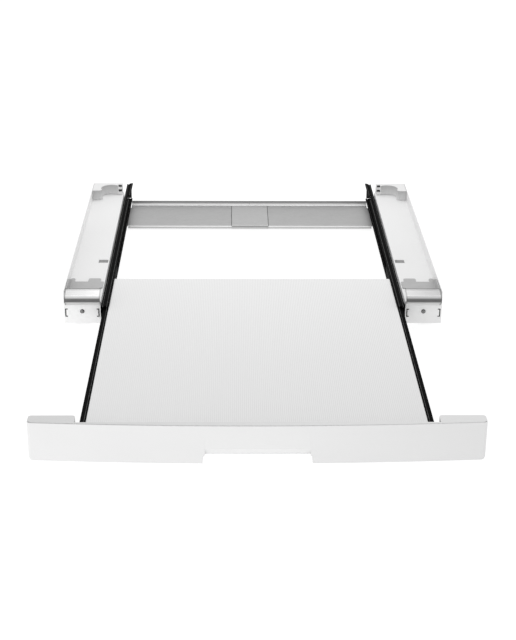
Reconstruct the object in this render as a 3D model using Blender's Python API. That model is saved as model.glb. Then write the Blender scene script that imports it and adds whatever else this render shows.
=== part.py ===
"""Stacking kit that stands a dryer on a washing machine, with a pull-out shelf between its rails.

Metres, +Z up, +Y to the back. Pieces are placed from the rails' front plane (y = 0), the rails'
lower edge (z = 0) and the middle of the kit (x = 0). The root empty then moves the whole kit so
that its origin lies under the middle of its bounding box. The shelf is drawn pulled out to its
stop, and pushing it in moves it along +Y.
"""

from math import cos, pi, radians, sin, tan

import bmesh
import bpy
from mathutils import Vector

# Overall
OVERALL_WIDTH = 0.598
GAP = 0.0003  # between pieces that touch
OVERRUN = 0.002  # how far a cutter runs past what it cuts
ROUND_STEPS = 12  # sides of a screw or a bore
BEND_STEPS = 3  # facets of a folded corner
EDGE_STEPS = 2  # facets of a rounded edge
SHARP_ANGLE = radians(36)  # edges that turn more than this are sharp

# Rails
RAIL_WIDTH = 0.058
RAIL_LENGTH = 0.550
RAIL_HEIGHT = 0.054
RAIL_SHEET = 0.0015
TRAY_DEPTH = 0.0186
FLANGE_LIFT = 0.002  # lower flanges above the rail's lower edge
INNER_FLANGE_WIDTH = 0.0175
OUTER_FLANGE_WIDTH = 0.0135
LUG_WIDTH = 0.024  # tab under the tray floor that takes the front screw
LUG_DROP = 0.022
TRAY_HOLE_WIDTH = 0.016
TRAY_HOLE_LENGTH = 0.015
TRAY_HOLE_START = 0.174  # from the rail's front

# Grip strips under the rails
GRIP_PROUD = 0.0030  # below the rail's lower edge
GRIP_WIDTH = 0.009
GRIP_END_MARGIN = 0.012

# Front plates, with their screw and clip slots
PLATE_SHEET = 0.0015
FRONT_SCREW_HEIGHT = 0.0205
SLOT_BOTTOM = 0.011
SLOT_HEIGHT = 0.014
SLOT_WIDTH = 0.0018
SLOT_HOOK = 0.0042
SLOT_FROM_SIDE = 0.0028  # from the rail's side to the slot's middle

# Foot retainers: bright bull-nosed strips across the front of the trays
RETAINER_SHEET = 0.0012
RETAINER_TOP_BACK = 0.0136
RETAINER_CREASE = 0.0068  # where the flat top starts to fall forward
NOSE_REACH = 0.0122
NOSE_RADIUS = 0.0072
NOSE_START_ANGLE = radians(104.5)
NOSE_END_ANGLE = radians(270)
NOSE_STEPS = 10
NOSE_DROP = 0.0104  # nose centre below the rail's top
RETAINER_LIP_BOTTOM = 0.0316
RETAINER_END_ROOM = 0.0008  # between its outer end and the rail's wall
RETAINER_OVERHANG = 0.0004  # past the tray's inner edge

# Mats on the tray floors
MAT_THICKNESS = 0.0015
MAT_FRONT = 0.015
MAT_BACK = 0.085
MAT_TAB_LENGTH = 0.014
MAT_INNER_MARGIN = 0.0015  # from the rail's inner side
MAT_OUTER_MARGIN = 0.0005  # from the outer wall
MAT_NOTCH = (0.0046, 0.0585)  # width, and where it ends, at the inner front corner
MAT_INNER_TAB = (0.0053, 0.0253)  # from the mat's inner side
MAT_OUTER_TAB = 0.0075
MAT_TAB_RADIUS = 0.003
MAT_WING_THICKNESS = 0.0018  # part that stands up along the outer wall
MAT_WING_TOP_BACK = 0.056  # the wing's back edge slants from here down to the tab's end
MAT_WING_DROP = 0.001  # below the wall's top

# Rear foot blocks
BLOCK_OUTER_FRONT = 0.045  # from the rail's back end
BLOCK_INNER_FRONT = 0.0138
POCKET_RADIUS = 0.019
POCKET_FROM_BACK = 0.029
POCKET_FROM_BLOCK_END = 0.0204
POCKET_LEAN = radians(15)  # how far round past its widest the pocket's outer side runs
POCKET_LIP_RADIUS = 0.005
POCKET_STEPS = 16
LINER_THICKNESS = 0.001
LINER_DROP = 0.0005  # below the block's top
BLOCK_SCREW_INSET = 0.008  # from the block's outer side and back
BLOCK_SLOT_MARGIN = 0.0012  # from the liner's end and from the block's inner end
BLOCK_SLOT_HEIGHT = 0.0046
BLOCK_SLOT_DEPTH = 0.005
BLOCK_SLOT_BOTTOMS = (0.0054, 0.0142)  # above the block's foot

# Ball slides
SLIDE_SHEET = 0.0013
SLIDE_BOTTOM = 0.0072
SLIDE_HEIGHT = 0.0266
SLIDE_WIDTH = 0.0113
SLIDE_FRONT_REACH = 0.010  # past the rail's front
SLIDE_BACK_REACH = 0.042  # past the rail's back
SLIDE_TOE_LENGTH = 0.0237  # upper flange past the channel's end
SLIDE_TOE_SLANT = 0.015
SLIDE_NOTCH_FROM_BACK = 0.079  # from the channel's back to the notch's front
SLIDE_NOTCH_LENGTH = 0.026
SLIDE_NOTCH_WIDTH = 0.0045
SLIDE_BEND_RADIUS = 0.0018
RACE_WIDTH = 0.005
RACE_RISE = 0.0009
RACE_STEPS = 6
RACE_FROM_EDGE = 0.0043  # race's middle from the channel's open side
BALL_DIAMETER = 0.0031
BALL_PLAY = 0.0002
INNER_WIDTH = 0.0080
INNER_REAR = 0.180
INNER_FRONT_MARGIN = 0.004  # behind the front panel
CAGE_SHEET = 0.0008
CAGE_FRONT = 0.020
CAGE_LENGTH = 0.150
BALLS_IN_A_ROW = 6
BALL_SEGMENTS = 8
BALL_RINGS = 6
STOP_LENGTH = 0.0115
STOP_HEIGHT = 0.012
STOP_DEPTH = 0.0045
BUMPER_LENGTH = 0.0034
BUMPER_HEIGHT = 0.020
MOUNT_STRIP_HEIGHT = 0.020
MOUNT_STRIP_THICKNESS = 0.0008
MOUNT_STRIP_END_MARGIN = 0.010
SLIDE_SCREW_FROM_ENDS = 0.055

# Cross member
CROSS_SHEET = 0.0012
CROSS_TOP = 0.0050
CROSS_BACK_REACH = 0.0148  # past the rail's back
CROSS_DEPTH = 0.1226
CROSS_END_MARGIN = 0.0135  # from the rail's inner side to the plate's end
CROSS_REAR_FLANGE = 0.0085
CROSS_FRONT_FLANGE = 0.0047
CROSS_REAR_BEND = 0.0045
CROSS_FRONT_BEND = 0.0024
TONGUE_FRONT_MARGIN = 0.0024  # from the plate's front
TONGUE_BACK_MARGIN = 0.018  # from the plate's back
TONGUE_REACH = 0.014  # past the rail's inner side
JOINER_WIDTH = 0.068
JOINER_SHEET = 0.0012
JOINER_SCREW_SPREAD = 0.036
JOINER_SCREW_DEPTH_SHARE = 0.27  # from the plate's front and back
TONGUE_SCREW_INSET = 0.006

# Shelf
SHELF_SIDE_GAP = 0.0006  # from the slide's open side
SHELF_TOP = 0.0305
SHELF_THICKNESS = 0.016
SHELF_LENGTH = 0.556
SHELF_BACK = 0.115
SHELF_SHEET = 0.0015
SHELF_LIP = 0.009
SHELF_EDGE_RADIUS = 0.0010
STIFFENER_SHEET = 0.0012
STIFFENER_HEIGHT = 0.0105
STIFFENER_WIDTH = 0.044
STIFFENER_FOOT = 0.008
STIFFENER_SLOPE = 0.004
STIFFENER_SHARES = (0.31, 0.69)  # along the shelf
SHELF_SCREW_FROM_ENDS = 0.040

# Front panel
PANEL_DROP = 0.0020  # below the rails' lower edge
PANEL_TOP = 0.0525
PANEL_WALL = 0.0025
PANEL_BOW = 0.0103
PANEL_DEPTH = 0.0125  # at the middle
PANEL_EAR_DEPTH = 0.0195  # how far the ends reach back past the middle
PANEL_EAR_WIDTH = 0.0612
PANEL_EDGE_RADIUS = 0.0022
PANEL_END_RADIUS = 0.005
PANEL_BOW_STEPS = 20
HANDLE_WIDTH = 0.1436
HANDLE_HEIGHT = 0.0119
HANDLE_CORNER = 0.005
SCOOP_HEIGHT = 0.0105
SCOOP_DEPTH = 0.005
SCOOP_END_MARGIN = 0.003
PANEL_SCREW_SHARES = (-0.78, -0.46, 0.46, 0.78)  # of half the shelf's width
BOSS_RADIUS = 0.005
BOSS_BORE_DEPTH = 0.005

# Screws
SCREW_RADIUS = 0.0016
SCREW_HEAD_RADIUS = 0.0034
SCREW_HEAD_HEIGHT = 0.0019
SCREW_CROWN_SHARE = 0.6  # flat top's radius, of the head's
CROSS_SLOT_WIDTH = 0.0009
CROSS_SLOT_DEPTH = 0.0009
CROSS_SLOT_SHARE = 0.62  # of the head's radius
LONG_SCREW = 0.010

# Places worked out from the sizes above
RAIL_OUT = OVERALL_WIDTH / 2
RAIL_IN = RAIL_OUT - RAIL_WIDTH
RAIL_MIDDLE = (RAIL_OUT + RAIL_IN) / 2
TRAY_IN = RAIL_IN + RAIL_SHEET
TRAY_OUT = RAIL_OUT - RAIL_SHEET
TRAY_FLOOR = RAIL_HEIGHT - TRAY_DEPTH
TRAY_UNDERSIDE = TRAY_FLOOR - RAIL_SHEET
FLANGE_TOP = FLANGE_LIFT + RAIL_SHEET
RAIL_START = PLATE_SHEET + GAP
RETAINER_IN = RAIL_IN - RETAINER_OVERHANG
BLOCK_IN = TRAY_IN + GAP
SLIDE_IN = RAIL_IN - 2 * GAP - MOUNT_STRIP_THICKNESS - SLIDE_WIDTH
SLIDE_OUT = SLIDE_IN + SLIDE_WIDTH
SLIDE_WEB = SLIDE_OUT - SLIDE_SHEET
SLIDE_FRONT = -SLIDE_FRONT_REACH
SLIDE_BACK = RAIL_LENGTH + SLIDE_BACK_REACH
SLIDE_TIP = SLIDE_BACK + SLIDE_TOE_LENGTH
SLIDE_TOP = SLIDE_BOTTOM + SLIDE_HEIGHT
SLIDE_MIDDLE = (SLIDE_BOTTOM + SLIDE_TOP) / 2
RACE_MIDDLE = SLIDE_IN + RACE_FROM_EDGE
RACE_TOP = SLIDE_TOP - SLIDE_SHEET  # inside of the upper race
RACE_GAP = BALL_DIAMETER + 2 * BALL_PLAY
INNER_TOP = RACE_TOP - RACE_GAP
INNER_BOTTOM = 2 * SLIDE_MIDDLE - INNER_TOP
SHELF_WIDTH = 2 * (SLIDE_IN - SHELF_SIDE_GAP)
SHELF_FRONT = SHELF_BACK - SHELF_LENGTH
INNER_IN = SHELF_WIDTH / 2 + GAP
INNER_FRONT = SHELF_FRONT + INNER_FRONT_MARGIN
BALL_HIGH = RACE_TOP - RACE_GAP / 2
CAGE_WEB = (SLIDE_WEB + INNER_IN + INNER_WIDTH + CAGE_SHEET) / 2  # its outer face
CROSS_BACK = RAIL_LENGTH + CROSS_BACK_REACH
CROSS_FRONT = CROSS_BACK - CROSS_DEPTH
CROSS_HALF_WIDTH = RAIL_IN - CROSS_END_MARGIN
CROSS_UNDERSIDE = CROSS_TOP - CROSS_SHEET
TONGUE_FRONT = CROSS_FRONT + TONGUE_FRONT_MARGIN
TONGUE_BACK = CROSS_BACK - TONGUE_BACK_MARGIN
TONGUE_END = RAIL_IN + TONGUE_REACH
SHELF_BOTTOM = SHELF_TOP - SHELF_THICKNESS
PANEL_BOTTOM = -PANEL_DROP
PANEL_BACK = SHELF_FRONT - 2 * GAP
PANEL_FRONT = PANEL_BACK - PANEL_DEPTH
PANEL_SCREW_HEIGHT = (SHELF_TOP + SHELF_BOTTOM) / 2
ORIGIN_Y = (PANEL_FRONT + SLIDE_TIP) / 2
SIDES = (("left", -1), ("right", 1))
BORE_RADIUS = SCREW_RADIUS + GAP
SUNK_RADIUS = SCREW_HEAD_RADIUS - GAP

# Ways that a screw's head can face, as rotations of a screw that stands head up
FACING = {
    "up": (0, 0, 0),
    "down": (pi, 0, 0),
    "front": (pi / 2, 0, 0),
    "back": (-pi / 2, 0, 0),
    "right": (0, pi / 2, 0),
    "left": (0, -pi / 2, 0),
}


def finish(name, colour, roughness, metallic=0.0):
    """A plain material of one colour."""
    material = bpy.data.materials.new(name)
    material.use_nodes = True
    shader = material.node_tree.nodes["Principled BSDF"]
    shader.inputs["Base Color"].default_value = (*colour, 1.0)
    shader.inputs["Roughness"].default_value = roughness
    shader.inputs["Metallic"].default_value = metallic
    material.diffuse_color = (*colour, 1.0)
    return material


def point(axis, along, across):
    """A point at this place along an axis, and at these places along the two other axes."""
    u, v = across
    return {"X": (along, u, v), "Y": (u, along, v), "Z": (u, v, along)}[axis]


def prism(bm, axis, outline, start, end):
    """Adds a closed prism whose outline lies across the axis."""
    rings = [[bm.verts.new(point(axis, place, p)) for p in outline] for place in (start, end)]
    bm.faces.new(rings[0])
    bm.faces.new(rings[1])
    for (a, b), (c, d) in zip(pairs(rings[0]), pairs(rings[1])):
        bm.faces.new((a, b, d, c))
    return bm


def pairs(ring):
    """Each item of a closed ring with the next one."""
    return list(zip(ring, ring[1:] + ring[:1]))


def block(bm, low, high):
    """Adds a box between two corners."""
    outline = [(low[0], low[1]), (high[0], low[1]), (high[0], high[1]), (low[0], high[1])]
    return prism(bm, "Z", outline, low[2], high[2])


def turned(bm, axis, centre, profile, steps=ROUND_STEPS):
    """Adds a round solid on an axis, from (radius, place along the axis) pairs."""
    circle = [(cos(2 * pi * i / steps), sin(2 * pi * i / steps)) for i in range(steps)]
    rings = []
    for radius, along in profile:
        ring = [(centre[0] + radius * c, centre[1] + radius * s) for c, s in circle]
        rings.append([bm.verts.new(point(axis, along, p)) for p in ring])
    bm.faces.new(rings[0])
    bm.faces.new(rings[-1])
    for low, high in zip(rings, rings[1:]):
        for (a, b), (c, d) in zip(pairs(low), pairs(high)):
            bm.faces.new((a, b, d, c))
    return bm


def bore(bm, axis, centre, start, end, radius=BORE_RADIUS):
    """Adds the cylinder that cuts a screw hole."""
    return turned(bm, axis, centre, ((radius, start), (radius, end)))


def bent(points, radius, steps=BEND_STEPS):
    """The same path with each corner turned on an arc."""
    path = [Vector(points[0])]
    for before, corner, after in zip(points, points[1:], points[2:]):
        corner = Vector(corner)
        back = (Vector(before) - corner).normalized()
        ahead = (Vector(after) - corner).normalized()
        half = back.angle(ahead) / 2
        middle = corner + (back + ahead).normalized() * radius / sin(half)
        start = corner + back * radius / tan(half) - middle
        end = corner + ahead * radius / tan(half) - middle
        for i in range(steps + 1):
            path.append(middle + start.lerp(end, i / steps).normalized() * radius)
    path.append(Vector(points[-1]))
    return path


def beside(path, distance):
    """The same path moved to its left by a distance."""
    path = [Vector(p) for p in path]
    runs = [(b - a).normalized() for a, b in zip(path, path[1:])]
    runs = [runs[0]] + runs + [runs[-1]]
    moved = []
    for place, before, after in zip(path, runs, runs[1:]):
        mean = (before + after).normalized()
        left = Vector((-mean.y, mean.x))
        moved.append(tuple(place + left * distance / mean.dot(before)))
    return moved


def sheet(path, thickness, clearance=0):
    """The closed outline of a folded sheet on the path's left side, this far off the path."""
    return beside(path, clearance) + beside(path, clearance + thickness)[::-1]


def new_object(name, bm, group, origin, side):
    """Turns a bmesh into an object at this origin. Side -1 mirrors it to the left."""
    if side < 0:
        bmesh.ops.scale(bm, vec=(-1, 1, 1), verts=bm.verts)
    bmesh.ops.recalc_face_normals(bm, faces=bm.faces)
    place = Vector((side * origin[0], origin[1], origin[2]))
    bmesh.ops.translate(bm, vec=-place, verts=bm.verts)
    mesh = bpy.data.meshes.new(name)
    bm.to_mesh(mesh)
    bm.free()
    obj = bpy.data.objects.new(name, mesh)
    bpy.context.scene.collection.objects.link(obj)
    obj.parent = group
    obj.location = place - group_place(group)
    return obj


def group_place(group):
    """Where a group's empty stands in the kit."""
    return group.location if group and group.parent else Vector()


def piece(name, bm, material, group, origin, side=1):
    """One sub-part of the kit."""
    obj = new_object(name, bm, group, origin, side)
    obj.data.materials.append(material)
    return obj


def boolean(obj, other, operation):
    """Adds or takes away another object's shape."""
    other.hide_render = True
    other.display_type = "WIRE"
    modifier = obj.modifiers.new(operation.lower(), "BOOLEAN")
    modifier.operation = operation
    modifier.solver = "EXACT"
    modifier.object = other


def cut(obj, bm, side=1):
    """Cuts these shapes, which don't touch each other, out of a piece."""
    cutter = new_object("cut_" + obj.name, bm, obj.parent, (0, 0, 0), side)
    boolean(obj, cutter, "DIFFERENCE")
    return cutter


def join(obj, bm, side=1):
    """Joins these shapes, which don't touch each other, to a piece."""
    boolean(obj, new_object("join_" + obj.name, bm, obj.parent, (0, 0, 0), side), "UNION")


def round_off(obj, width):
    """Rounds a piece's sharp edges."""
    modifier = obj.modifiers.new("round", "BEVEL")
    modifier.width = width
    modifier.segments = EDGE_STEPS
    modifier.limit_method = "ANGLE"
    modifier.angle_limit = SHARP_ANGLE


def smooth(obj):
    """Shades a round piece smooth, with its sharp edges kept."""
    obj.data.shade_smooth()
    obj.data.set_sharp_from_angle(angle=SHARP_ANGLE)


def cross_outline(reach, width):
    """The outline of a cross-head slot."""
    half = width / 2
    quarter = [(reach, half), (half, half), (half, reach)]
    outline = []
    for i in range(4):
        outline += [turn_quarters(p, i) for p in quarter]
    return outline


def turn_quarters(place, count):
    """A point turned about the origin by this many quarter turns."""
    x, y = place
    for _ in range(count):
        x, y = -y, x
    return x, y


def screw_mesh(name, length, sunk, material):
    """A cross-head screw that stands head up, with its bearing face (or sunk top) at z = 0."""
    crown = SCREW_HEAD_RADIUS * SCREW_CROWN_SHARE
    if sunk:
        top = 0
        profile = ((SCREW_RADIUS, -length), (SCREW_RADIUS, -SLIDE_SHEET), (SUNK_RADIUS, 0))
    else:
        top = SCREW_HEAD_HEIGHT
        shoulder = SCREW_HEAD_HEIGHT / 2
        profile = (
            (SCREW_RADIUS, -length),
            (SCREW_RADIUS, 0),
            (SCREW_HEAD_RADIUS, 0),
            (SCREW_HEAD_RADIUS, shoulder),
            (crown, SCREW_HEAD_HEIGHT),
        )
    body = new_object(name, turned(bmesh.new(), "Z", (0, 0), profile), None, (0, 0, 0), 1)
    slot = cross_outline(SCREW_HEAD_RADIUS * CROSS_SLOT_SHARE, CROSS_SLOT_WIDTH)
    recess = prism(bmesh.new(), "Z", slot, top - CROSS_SLOT_DEPTH, top + OVERRUN)
    cutter = new_object("cut_" + name, recess, None, (0, 0, 0), 1)
    boolean(body, cutter, "DIFFERENCE")
    graph = bpy.context.evaluated_depsgraph_get()
    mesh = bpy.data.meshes.new_from_object(body.evaluated_get(graph))
    mesh.name = name
    mesh.materials.clear()
    mesh.materials.append(material)
    for obj in (body, cutter):
        bpy.data.objects.remove(obj)
    return mesh


def screw(name, mesh, group, place, facing):
    """One screw whose head faces this way."""
    obj = bpy.data.objects.new(name, mesh)
    bpy.context.scene.collection.objects.link(obj)
    obj.parent = group
    obj.location = Vector(place) - group_place(group)
    obj.rotation_euler = FACING[facing]
    smooth(obj)


def empty(name, location, parent=None):
    """A group of pieces that move together."""
    obj = bpy.data.objects.new(name, None)
    bpy.context.scene.collection.objects.link(obj)
    obj.location = location
    obj.parent = parent
    return obj


def outward(side):
    """The way that a screw head faces away from the kit's middle."""
    return "right" if side > 0 else "left"


def slide_screw_places():
    """Places of a slide's screws along the rail."""
    return (SLIDE_SCREW_FROM_ENDS, RAIL_LENGTH - SLIDE_SCREW_FROM_ENDS)


def shelf_screw_places():
    """Places of the shelf's side screws."""
    return (SHELF_FRONT + SHELF_SCREW_FROM_ENDS, SHELF_BACK - SHELF_SCREW_FROM_ENDS)


def tongue_screw_places():
    """Places of the screws that hold a half of the cross member to its rail."""
    x = TONGUE_END - TONGUE_SCREW_INSET
    return ((x, TONGUE_FRONT + 2 * TONGUE_SCREW_INSET), (x, TONGUE_BACK - 2 * TONGUE_SCREW_INSET))


def joiner_screw_places():
    """Places of the screws under the joiner plate, as x and y."""
    inset = CROSS_DEPTH * JOINER_SCREW_DEPTH_SHARE
    rows = (CROSS_FRONT + inset, CROSS_BACK - inset)
    return [(side * JOINER_SCREW_SPREAD / 2, y) for _, side in SIDES for y in rows]


def panel_screw_places():
    """Places of the front panel's screws across the kit."""
    return [share * SHELF_WIDTH / 2 for share in PANEL_SCREW_SHARES]


def block_screw_place():
    """Place of a rear foot block's screw, as x and y."""
    return TRAY_OUT - BLOCK_SCREW_INSET, RAIL_LENGTH - BLOCK_SCREW_INSET


def add_rail(kit, label, side, white):
    """Folded rail: an outer wall, a tray floor, an inner wall under it, and two lower flanges."""
    shape = block(bmesh.new(), (RAIL_IN, RAIL_START, 0), (RAIL_OUT, RAIL_LENGTH, RAIL_HEIGHT))
    rail = piece("rail_" + label, shape, white, kit, (RAIL_MIDDLE, 0, 0), side)
    ends = (RAIL_START - OVERRUN, RAIL_LENGTH + OVERRUN)
    cutters = bmesh.new()
    block(cutters, (RAIL_IN - OVERRUN, ends[0], TRAY_FLOOR),
          (TRAY_OUT, ends[1], RAIL_HEIGHT + OVERRUN))
    block(cutters, (TRAY_IN, RAIL_START + RAIL_SHEET, FLANGE_TOP),
          (TRAY_OUT, ends[1], TRAY_UNDERSIDE))
    block(cutters, (TRAY_IN, ends[0], -OVERRUN), (TRAY_OUT, ends[1], FLANGE_LIFT))
    cut(rail, cutters, side)
    mouth = (TRAY_IN + INNER_FLANGE_WIDTH, TRAY_OUT - OUTER_FLANGE_WIDTH)
    cut(rail, block(bmesh.new(), (mouth[0], ends[0], -OVERRUN),
                    (mouth[1], ends[1], FLANGE_TOP + OVERRUN / 2)), side)
    cut(rail, front_opening(ends[0]), side)
    cut(rail, rail_details(), side)


def front_opening(start):
    """Leaves only the screw's lug of the wall behind the front plate."""
    cutters = bmesh.new()
    lug = (RAIL_MIDDLE - LUG_WIDTH / 2, RAIL_MIDDLE + LUG_WIDTH / 2)
    end = RAIL_START + RAIL_SHEET + OVERRUN / 2
    block(cutters, (TRAY_IN, start, FLANGE_TOP), (lug[0], end, TRAY_UNDERSIDE))
    block(cutters, (lug[1], start, FLANGE_TOP), (TRAY_OUT, end, TRAY_UNDERSIDE))
    block(cutters, (lug[0] + GAP, start, FLANGE_TOP - RAIL_SHEET - OVERRUN),
          (lug[1] - GAP, end, TRAY_UNDERSIDE - LUG_DROP))
    return cutters


def rail_details():
    """The rail's holes, notches and slots."""
    cutters = bmesh.new()
    hole_end = TRAY_HOLE_START + TRAY_HOLE_LENGTH
    block(cutters, (TRAY_IN + GAP, TRAY_HOLE_START, TRAY_UNDERSIDE - OVERRUN),
          (TRAY_IN + GAP + TRAY_HOLE_WIDTH, hole_end, TRAY_FLOOR + OVERRUN))
    block(cutters, (RAIL_IN - OVERRUN, TONGUE_FRONT - GAP, FLANGE_TOP),
          (TRAY_IN + OVERRUN / 2, TONGUE_BACK + GAP, FLANGE_TOP + CROSS_SHEET + 2 * GAP))
    for y in slide_screw_places():
        bore(cutters, "X", (y, SLIDE_MIDDLE), RAIL_IN - OVERRUN, TRAY_IN + OVERRUN)
    bore(cutters, "Z", block_screw_place(), TRAY_UNDERSIDE - OVERRUN, TRAY_FLOOR + OVERRUN)
    for place in tongue_screw_places():
        bore(cutters, "Z", place, FLANGE_LIFT - OVERRUN, FLANGE_TOP + OVERRUN)
    bore(cutters, "Y", (RAIL_MIDDLE, FRONT_SCREW_HEIGHT), RAIL_START - OVERRUN,
         RAIL_START + RAIL_SHEET + OVERRUN)
    return cutters


def add_grip_strips(kit, label, side, rubber):
    """Rubber strips under the lower flanges, which stand on the washing machine."""
    flanges = (
        ("inner", TRAY_IN, INNER_FLANGE_WIDTH),
        ("outer", TRAY_OUT - OUTER_FLANGE_WIDTH, OUTER_FLANGE_WIDTH),
    )
    for where, start, width in flanges:
        low = start + (width - GRIP_WIDTH) / 2
        shape = block(
            bmesh.new(),
            (low, RAIL_START + GRIP_END_MARGIN, -GRIP_PROUD),
            (low + GRIP_WIDTH, RAIL_LENGTH - GRIP_END_MARGIN, FLANGE_LIFT - GAP),
        )
        name = "grip_strip_{}_{}".format(label, where)
        piece(name, shape, rubber, kit, (low, RAIL_START + GRIP_END_MARGIN, -GRIP_PROUD), side)


def hook_outline(x, way):
    """A C-shaped clip slot whose hooks point this way."""
    near, far = x - way * SLOT_WIDTH / 2, x + way * SLOT_WIDTH / 2
    tip = near + way * SLOT_HOOK
    top = SLOT_BOTTOM + SLOT_HEIGHT
    return [
        (near, SLOT_BOTTOM), (tip, SLOT_BOTTOM), (tip, SLOT_BOTTOM + SLOT_WIDTH),
        (far, SLOT_BOTTOM + SLOT_WIDTH), (far, top - SLOT_WIDTH), (tip, top - SLOT_WIDTH),
        (tip, top), (near, top),
    ]


def add_front_plate(kit, label, side, white):
    """White plate that closes a rail's front, with two clip slots and a screw hole."""
    shape = block(bmesh.new(), (RAIL_IN, 0, 0), (RAIL_OUT, PLATE_SHEET, TRAY_FLOOR))
    plate = piece("front_plate_" + label, shape, white, kit, (RAIL_MIDDLE, 0, 0), side)
    cutters = bmesh.new()
    ends = (-OVERRUN, PLATE_SHEET + OVERRUN)
    prism(cutters, "Y", hook_outline(RAIL_IN + SLOT_FROM_SIDE, 1), *ends)
    prism(cutters, "Y", hook_outline(RAIL_OUT - SLOT_FROM_SIDE, -1), *ends)
    bore(cutters, "Y", (RAIL_MIDDLE, FRONT_SCREW_HEIGHT), *ends)
    cut(plate, cutters, side)


def add_foot_retainer(kit, label, side, bright):
    """Bright strip bent to a bull nose, which stops the dryer's front foot."""
    middle = Vector((NOSE_RADIUS - NOSE_REACH, RAIL_HEIGHT - NOSE_DROP))
    path = [(RETAINER_TOP_BACK, RAIL_HEIGHT), (RETAINER_CREASE, RAIL_HEIGHT)]
    turn = NOSE_END_ANGLE - NOSE_START_ANGLE
    for i in range(NOSE_STEPS + 1):
        angle = NOSE_START_ANGLE + turn * i / NOSE_STEPS
        path.append(middle + Vector((cos(angle), sin(angle))) * NOSE_RADIUS)
    lip = -GAP - RETAINER_SHEET
    path.append((lip, middle.y - NOSE_RADIUS))
    path.append((lip, RETAINER_LIP_BOTTOM))
    end = TRAY_OUT - RETAINER_END_ROOM
    shape = prism(bmesh.new(), "X", sheet(path, RETAINER_SHEET), RETAINER_IN, end)
    origin = (RETAINER_IN, 0, RAIL_HEIGHT)
    smooth(piece("foot_retainer_" + label, shape, bright, kit, origin, side))


def add_mat(kit, label, side, grey):
    """Grey mat on the tray floor, with a tab at each side and a wing up along the outer wall."""
    low, high = RAIL_IN + MAT_INNER_MARGIN, TRAY_OUT - MAT_OUTER_MARGIN
    tab = MAT_BACK + MAT_TAB_LENGTH
    start, end = low + MAT_INNER_TAB[0], low + MAT_INNER_TAB[1]
    step = high - MAT_OUTER_TAB
    outer = bent([(high, MAT_FRONT), (high, tab), (step, tab), (step, MAT_BACK)], MAT_TAB_RADIUS)
    inner = bent([(end, MAT_BACK), (end, tab), (start, tab), (start, MAT_BACK)], MAT_TAB_RADIUS)
    notch, notch_end = MAT_NOTCH
    outline = [(low + notch, MAT_FRONT)] + [tuple(p) for p in outer + inner]
    outline += [(low, MAT_BACK), (low, notch_end), (low + notch, notch_end)]
    base = TRAY_FLOOR + GAP
    shape = prism(bmesh.new(), "Z", outline, base, base + MAT_THICKNESS)
    mat = piece("foot_mat_" + label, shape, grey, kit, (RAIL_MIDDLE, MAT_FRONT, base), side)
    root, top = base + MAT_THICKNESS / 2, RAIL_HEIGHT - MAT_WING_DROP
    wing = [(MAT_FRONT, root), (tab - MAT_TAB_RADIUS, root), (MAT_WING_TOP_BACK, top),
            (MAT_FRONT, top)]
    join(mat, prism(bmesh.new(), "X", wing, high - MAT_WING_THICKNESS, high), side)


def pocket_centre():
    """The middle of the round pocket in a rear foot block."""
    return Vector((BLOCK_IN + POCKET_FROM_BLOCK_END, RAIL_LENGTH - POCKET_FROM_BACK))


def pocket_edge():
    """The front edge of a rear foot block seen from above, from its outer side to its inner one."""
    centre = pocket_centre()
    outer_front = RAIL_LENGTH - BLOCK_OUTER_FRONT
    inner_front = RAIL_LENGTH - BLOCK_INNER_FRONT
    end = pi - asin_share((inner_front - centre.y) / POCKET_RADIUS)
    arc = []
    for i in range(POCKET_STEPS + 1):
        angle = -POCKET_LEAN + (end + POCKET_LEAN) * i / POCKET_STEPS
        arc.append(centre + Vector((cos(angle), sin(angle))) * POCKET_RADIUS)
    lip = Vector((arc[0].x - tan(POCKET_LEAN) * (arc[0].y - outer_front), outer_front))
    front = bent([(TRAY_OUT - GAP, outer_front), lip, arc[0]], POCKET_LIP_RADIUS)
    return [tuple(p) for p in front + arc[1:]]


def add_foot_block(kit, label, side, white):
    """White block at the back of a tray, with a round pocket for the dryer's rear foot."""
    edge = pocket_edge()
    arm_end, arm_front = edge[-1]
    outline = edge + [(BLOCK_IN, arm_front), (BLOCK_IN, RAIL_LENGTH)]
    base = TRAY_FLOOR + GAP
    shape = prism(bmesh.new(), "Z", outline + [(TRAY_OUT - GAP, RAIL_LENGTH)], base, RAIL_HEIGHT)
    centre = pocket_centre()
    foot = piece("rear_foot_block_" + label, shape, white, kit, (centre.x, centre.y, base), side)
    depth = (base - OVERRUN, base + LONG_SCREW)
    cutters = bore(bmesh.new(), "Z", block_screw_place(), *depth)
    for level in BLOCK_SLOT_BOTTOMS:
        block(cutters, (BLOCK_IN + BLOCK_SLOT_MARGIN, arm_front - OVERRUN, base + level),
              (arm_end - BLOCK_SLOT_MARGIN, arm_front + BLOCK_SLOT_DEPTH,
               base + level + BLOCK_SLOT_HEIGHT))
    cut(foot, cutters, side)


def add_pocket_liner(kit, label, side, grey):
    """Grey strip that lines a rear foot block's front edge and pocket."""
    outline = sheet(pocket_edge(), LINER_THICKNESS, GAP)
    base = TRAY_FLOOR + GAP
    shape = prism(bmesh.new(), "Z", outline, base, RAIL_HEIGHT - LINER_DROP)
    centre = pocket_centre()
    piece("pocket_liner_" + label, shape, grey, kit, (centre.x, centre.y, base), side)


def asin_share(ratio):
    """The angle whose sine is this ratio."""
    return Vector(((1 - ratio * ratio) ** 0.5, ratio)).angle_signed(Vector((1, 0)))


def race(middle, level, rise):
    """Points of a ball race: a low bead along a slide's flange."""
    points = []
    for i in range(RACE_STEPS + 1):
        share = i / RACE_STEPS
        points.append((middle + RACE_WIDTH * (share - 1 / 2), level + rise * sin(pi * share)))
    return points


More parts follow.
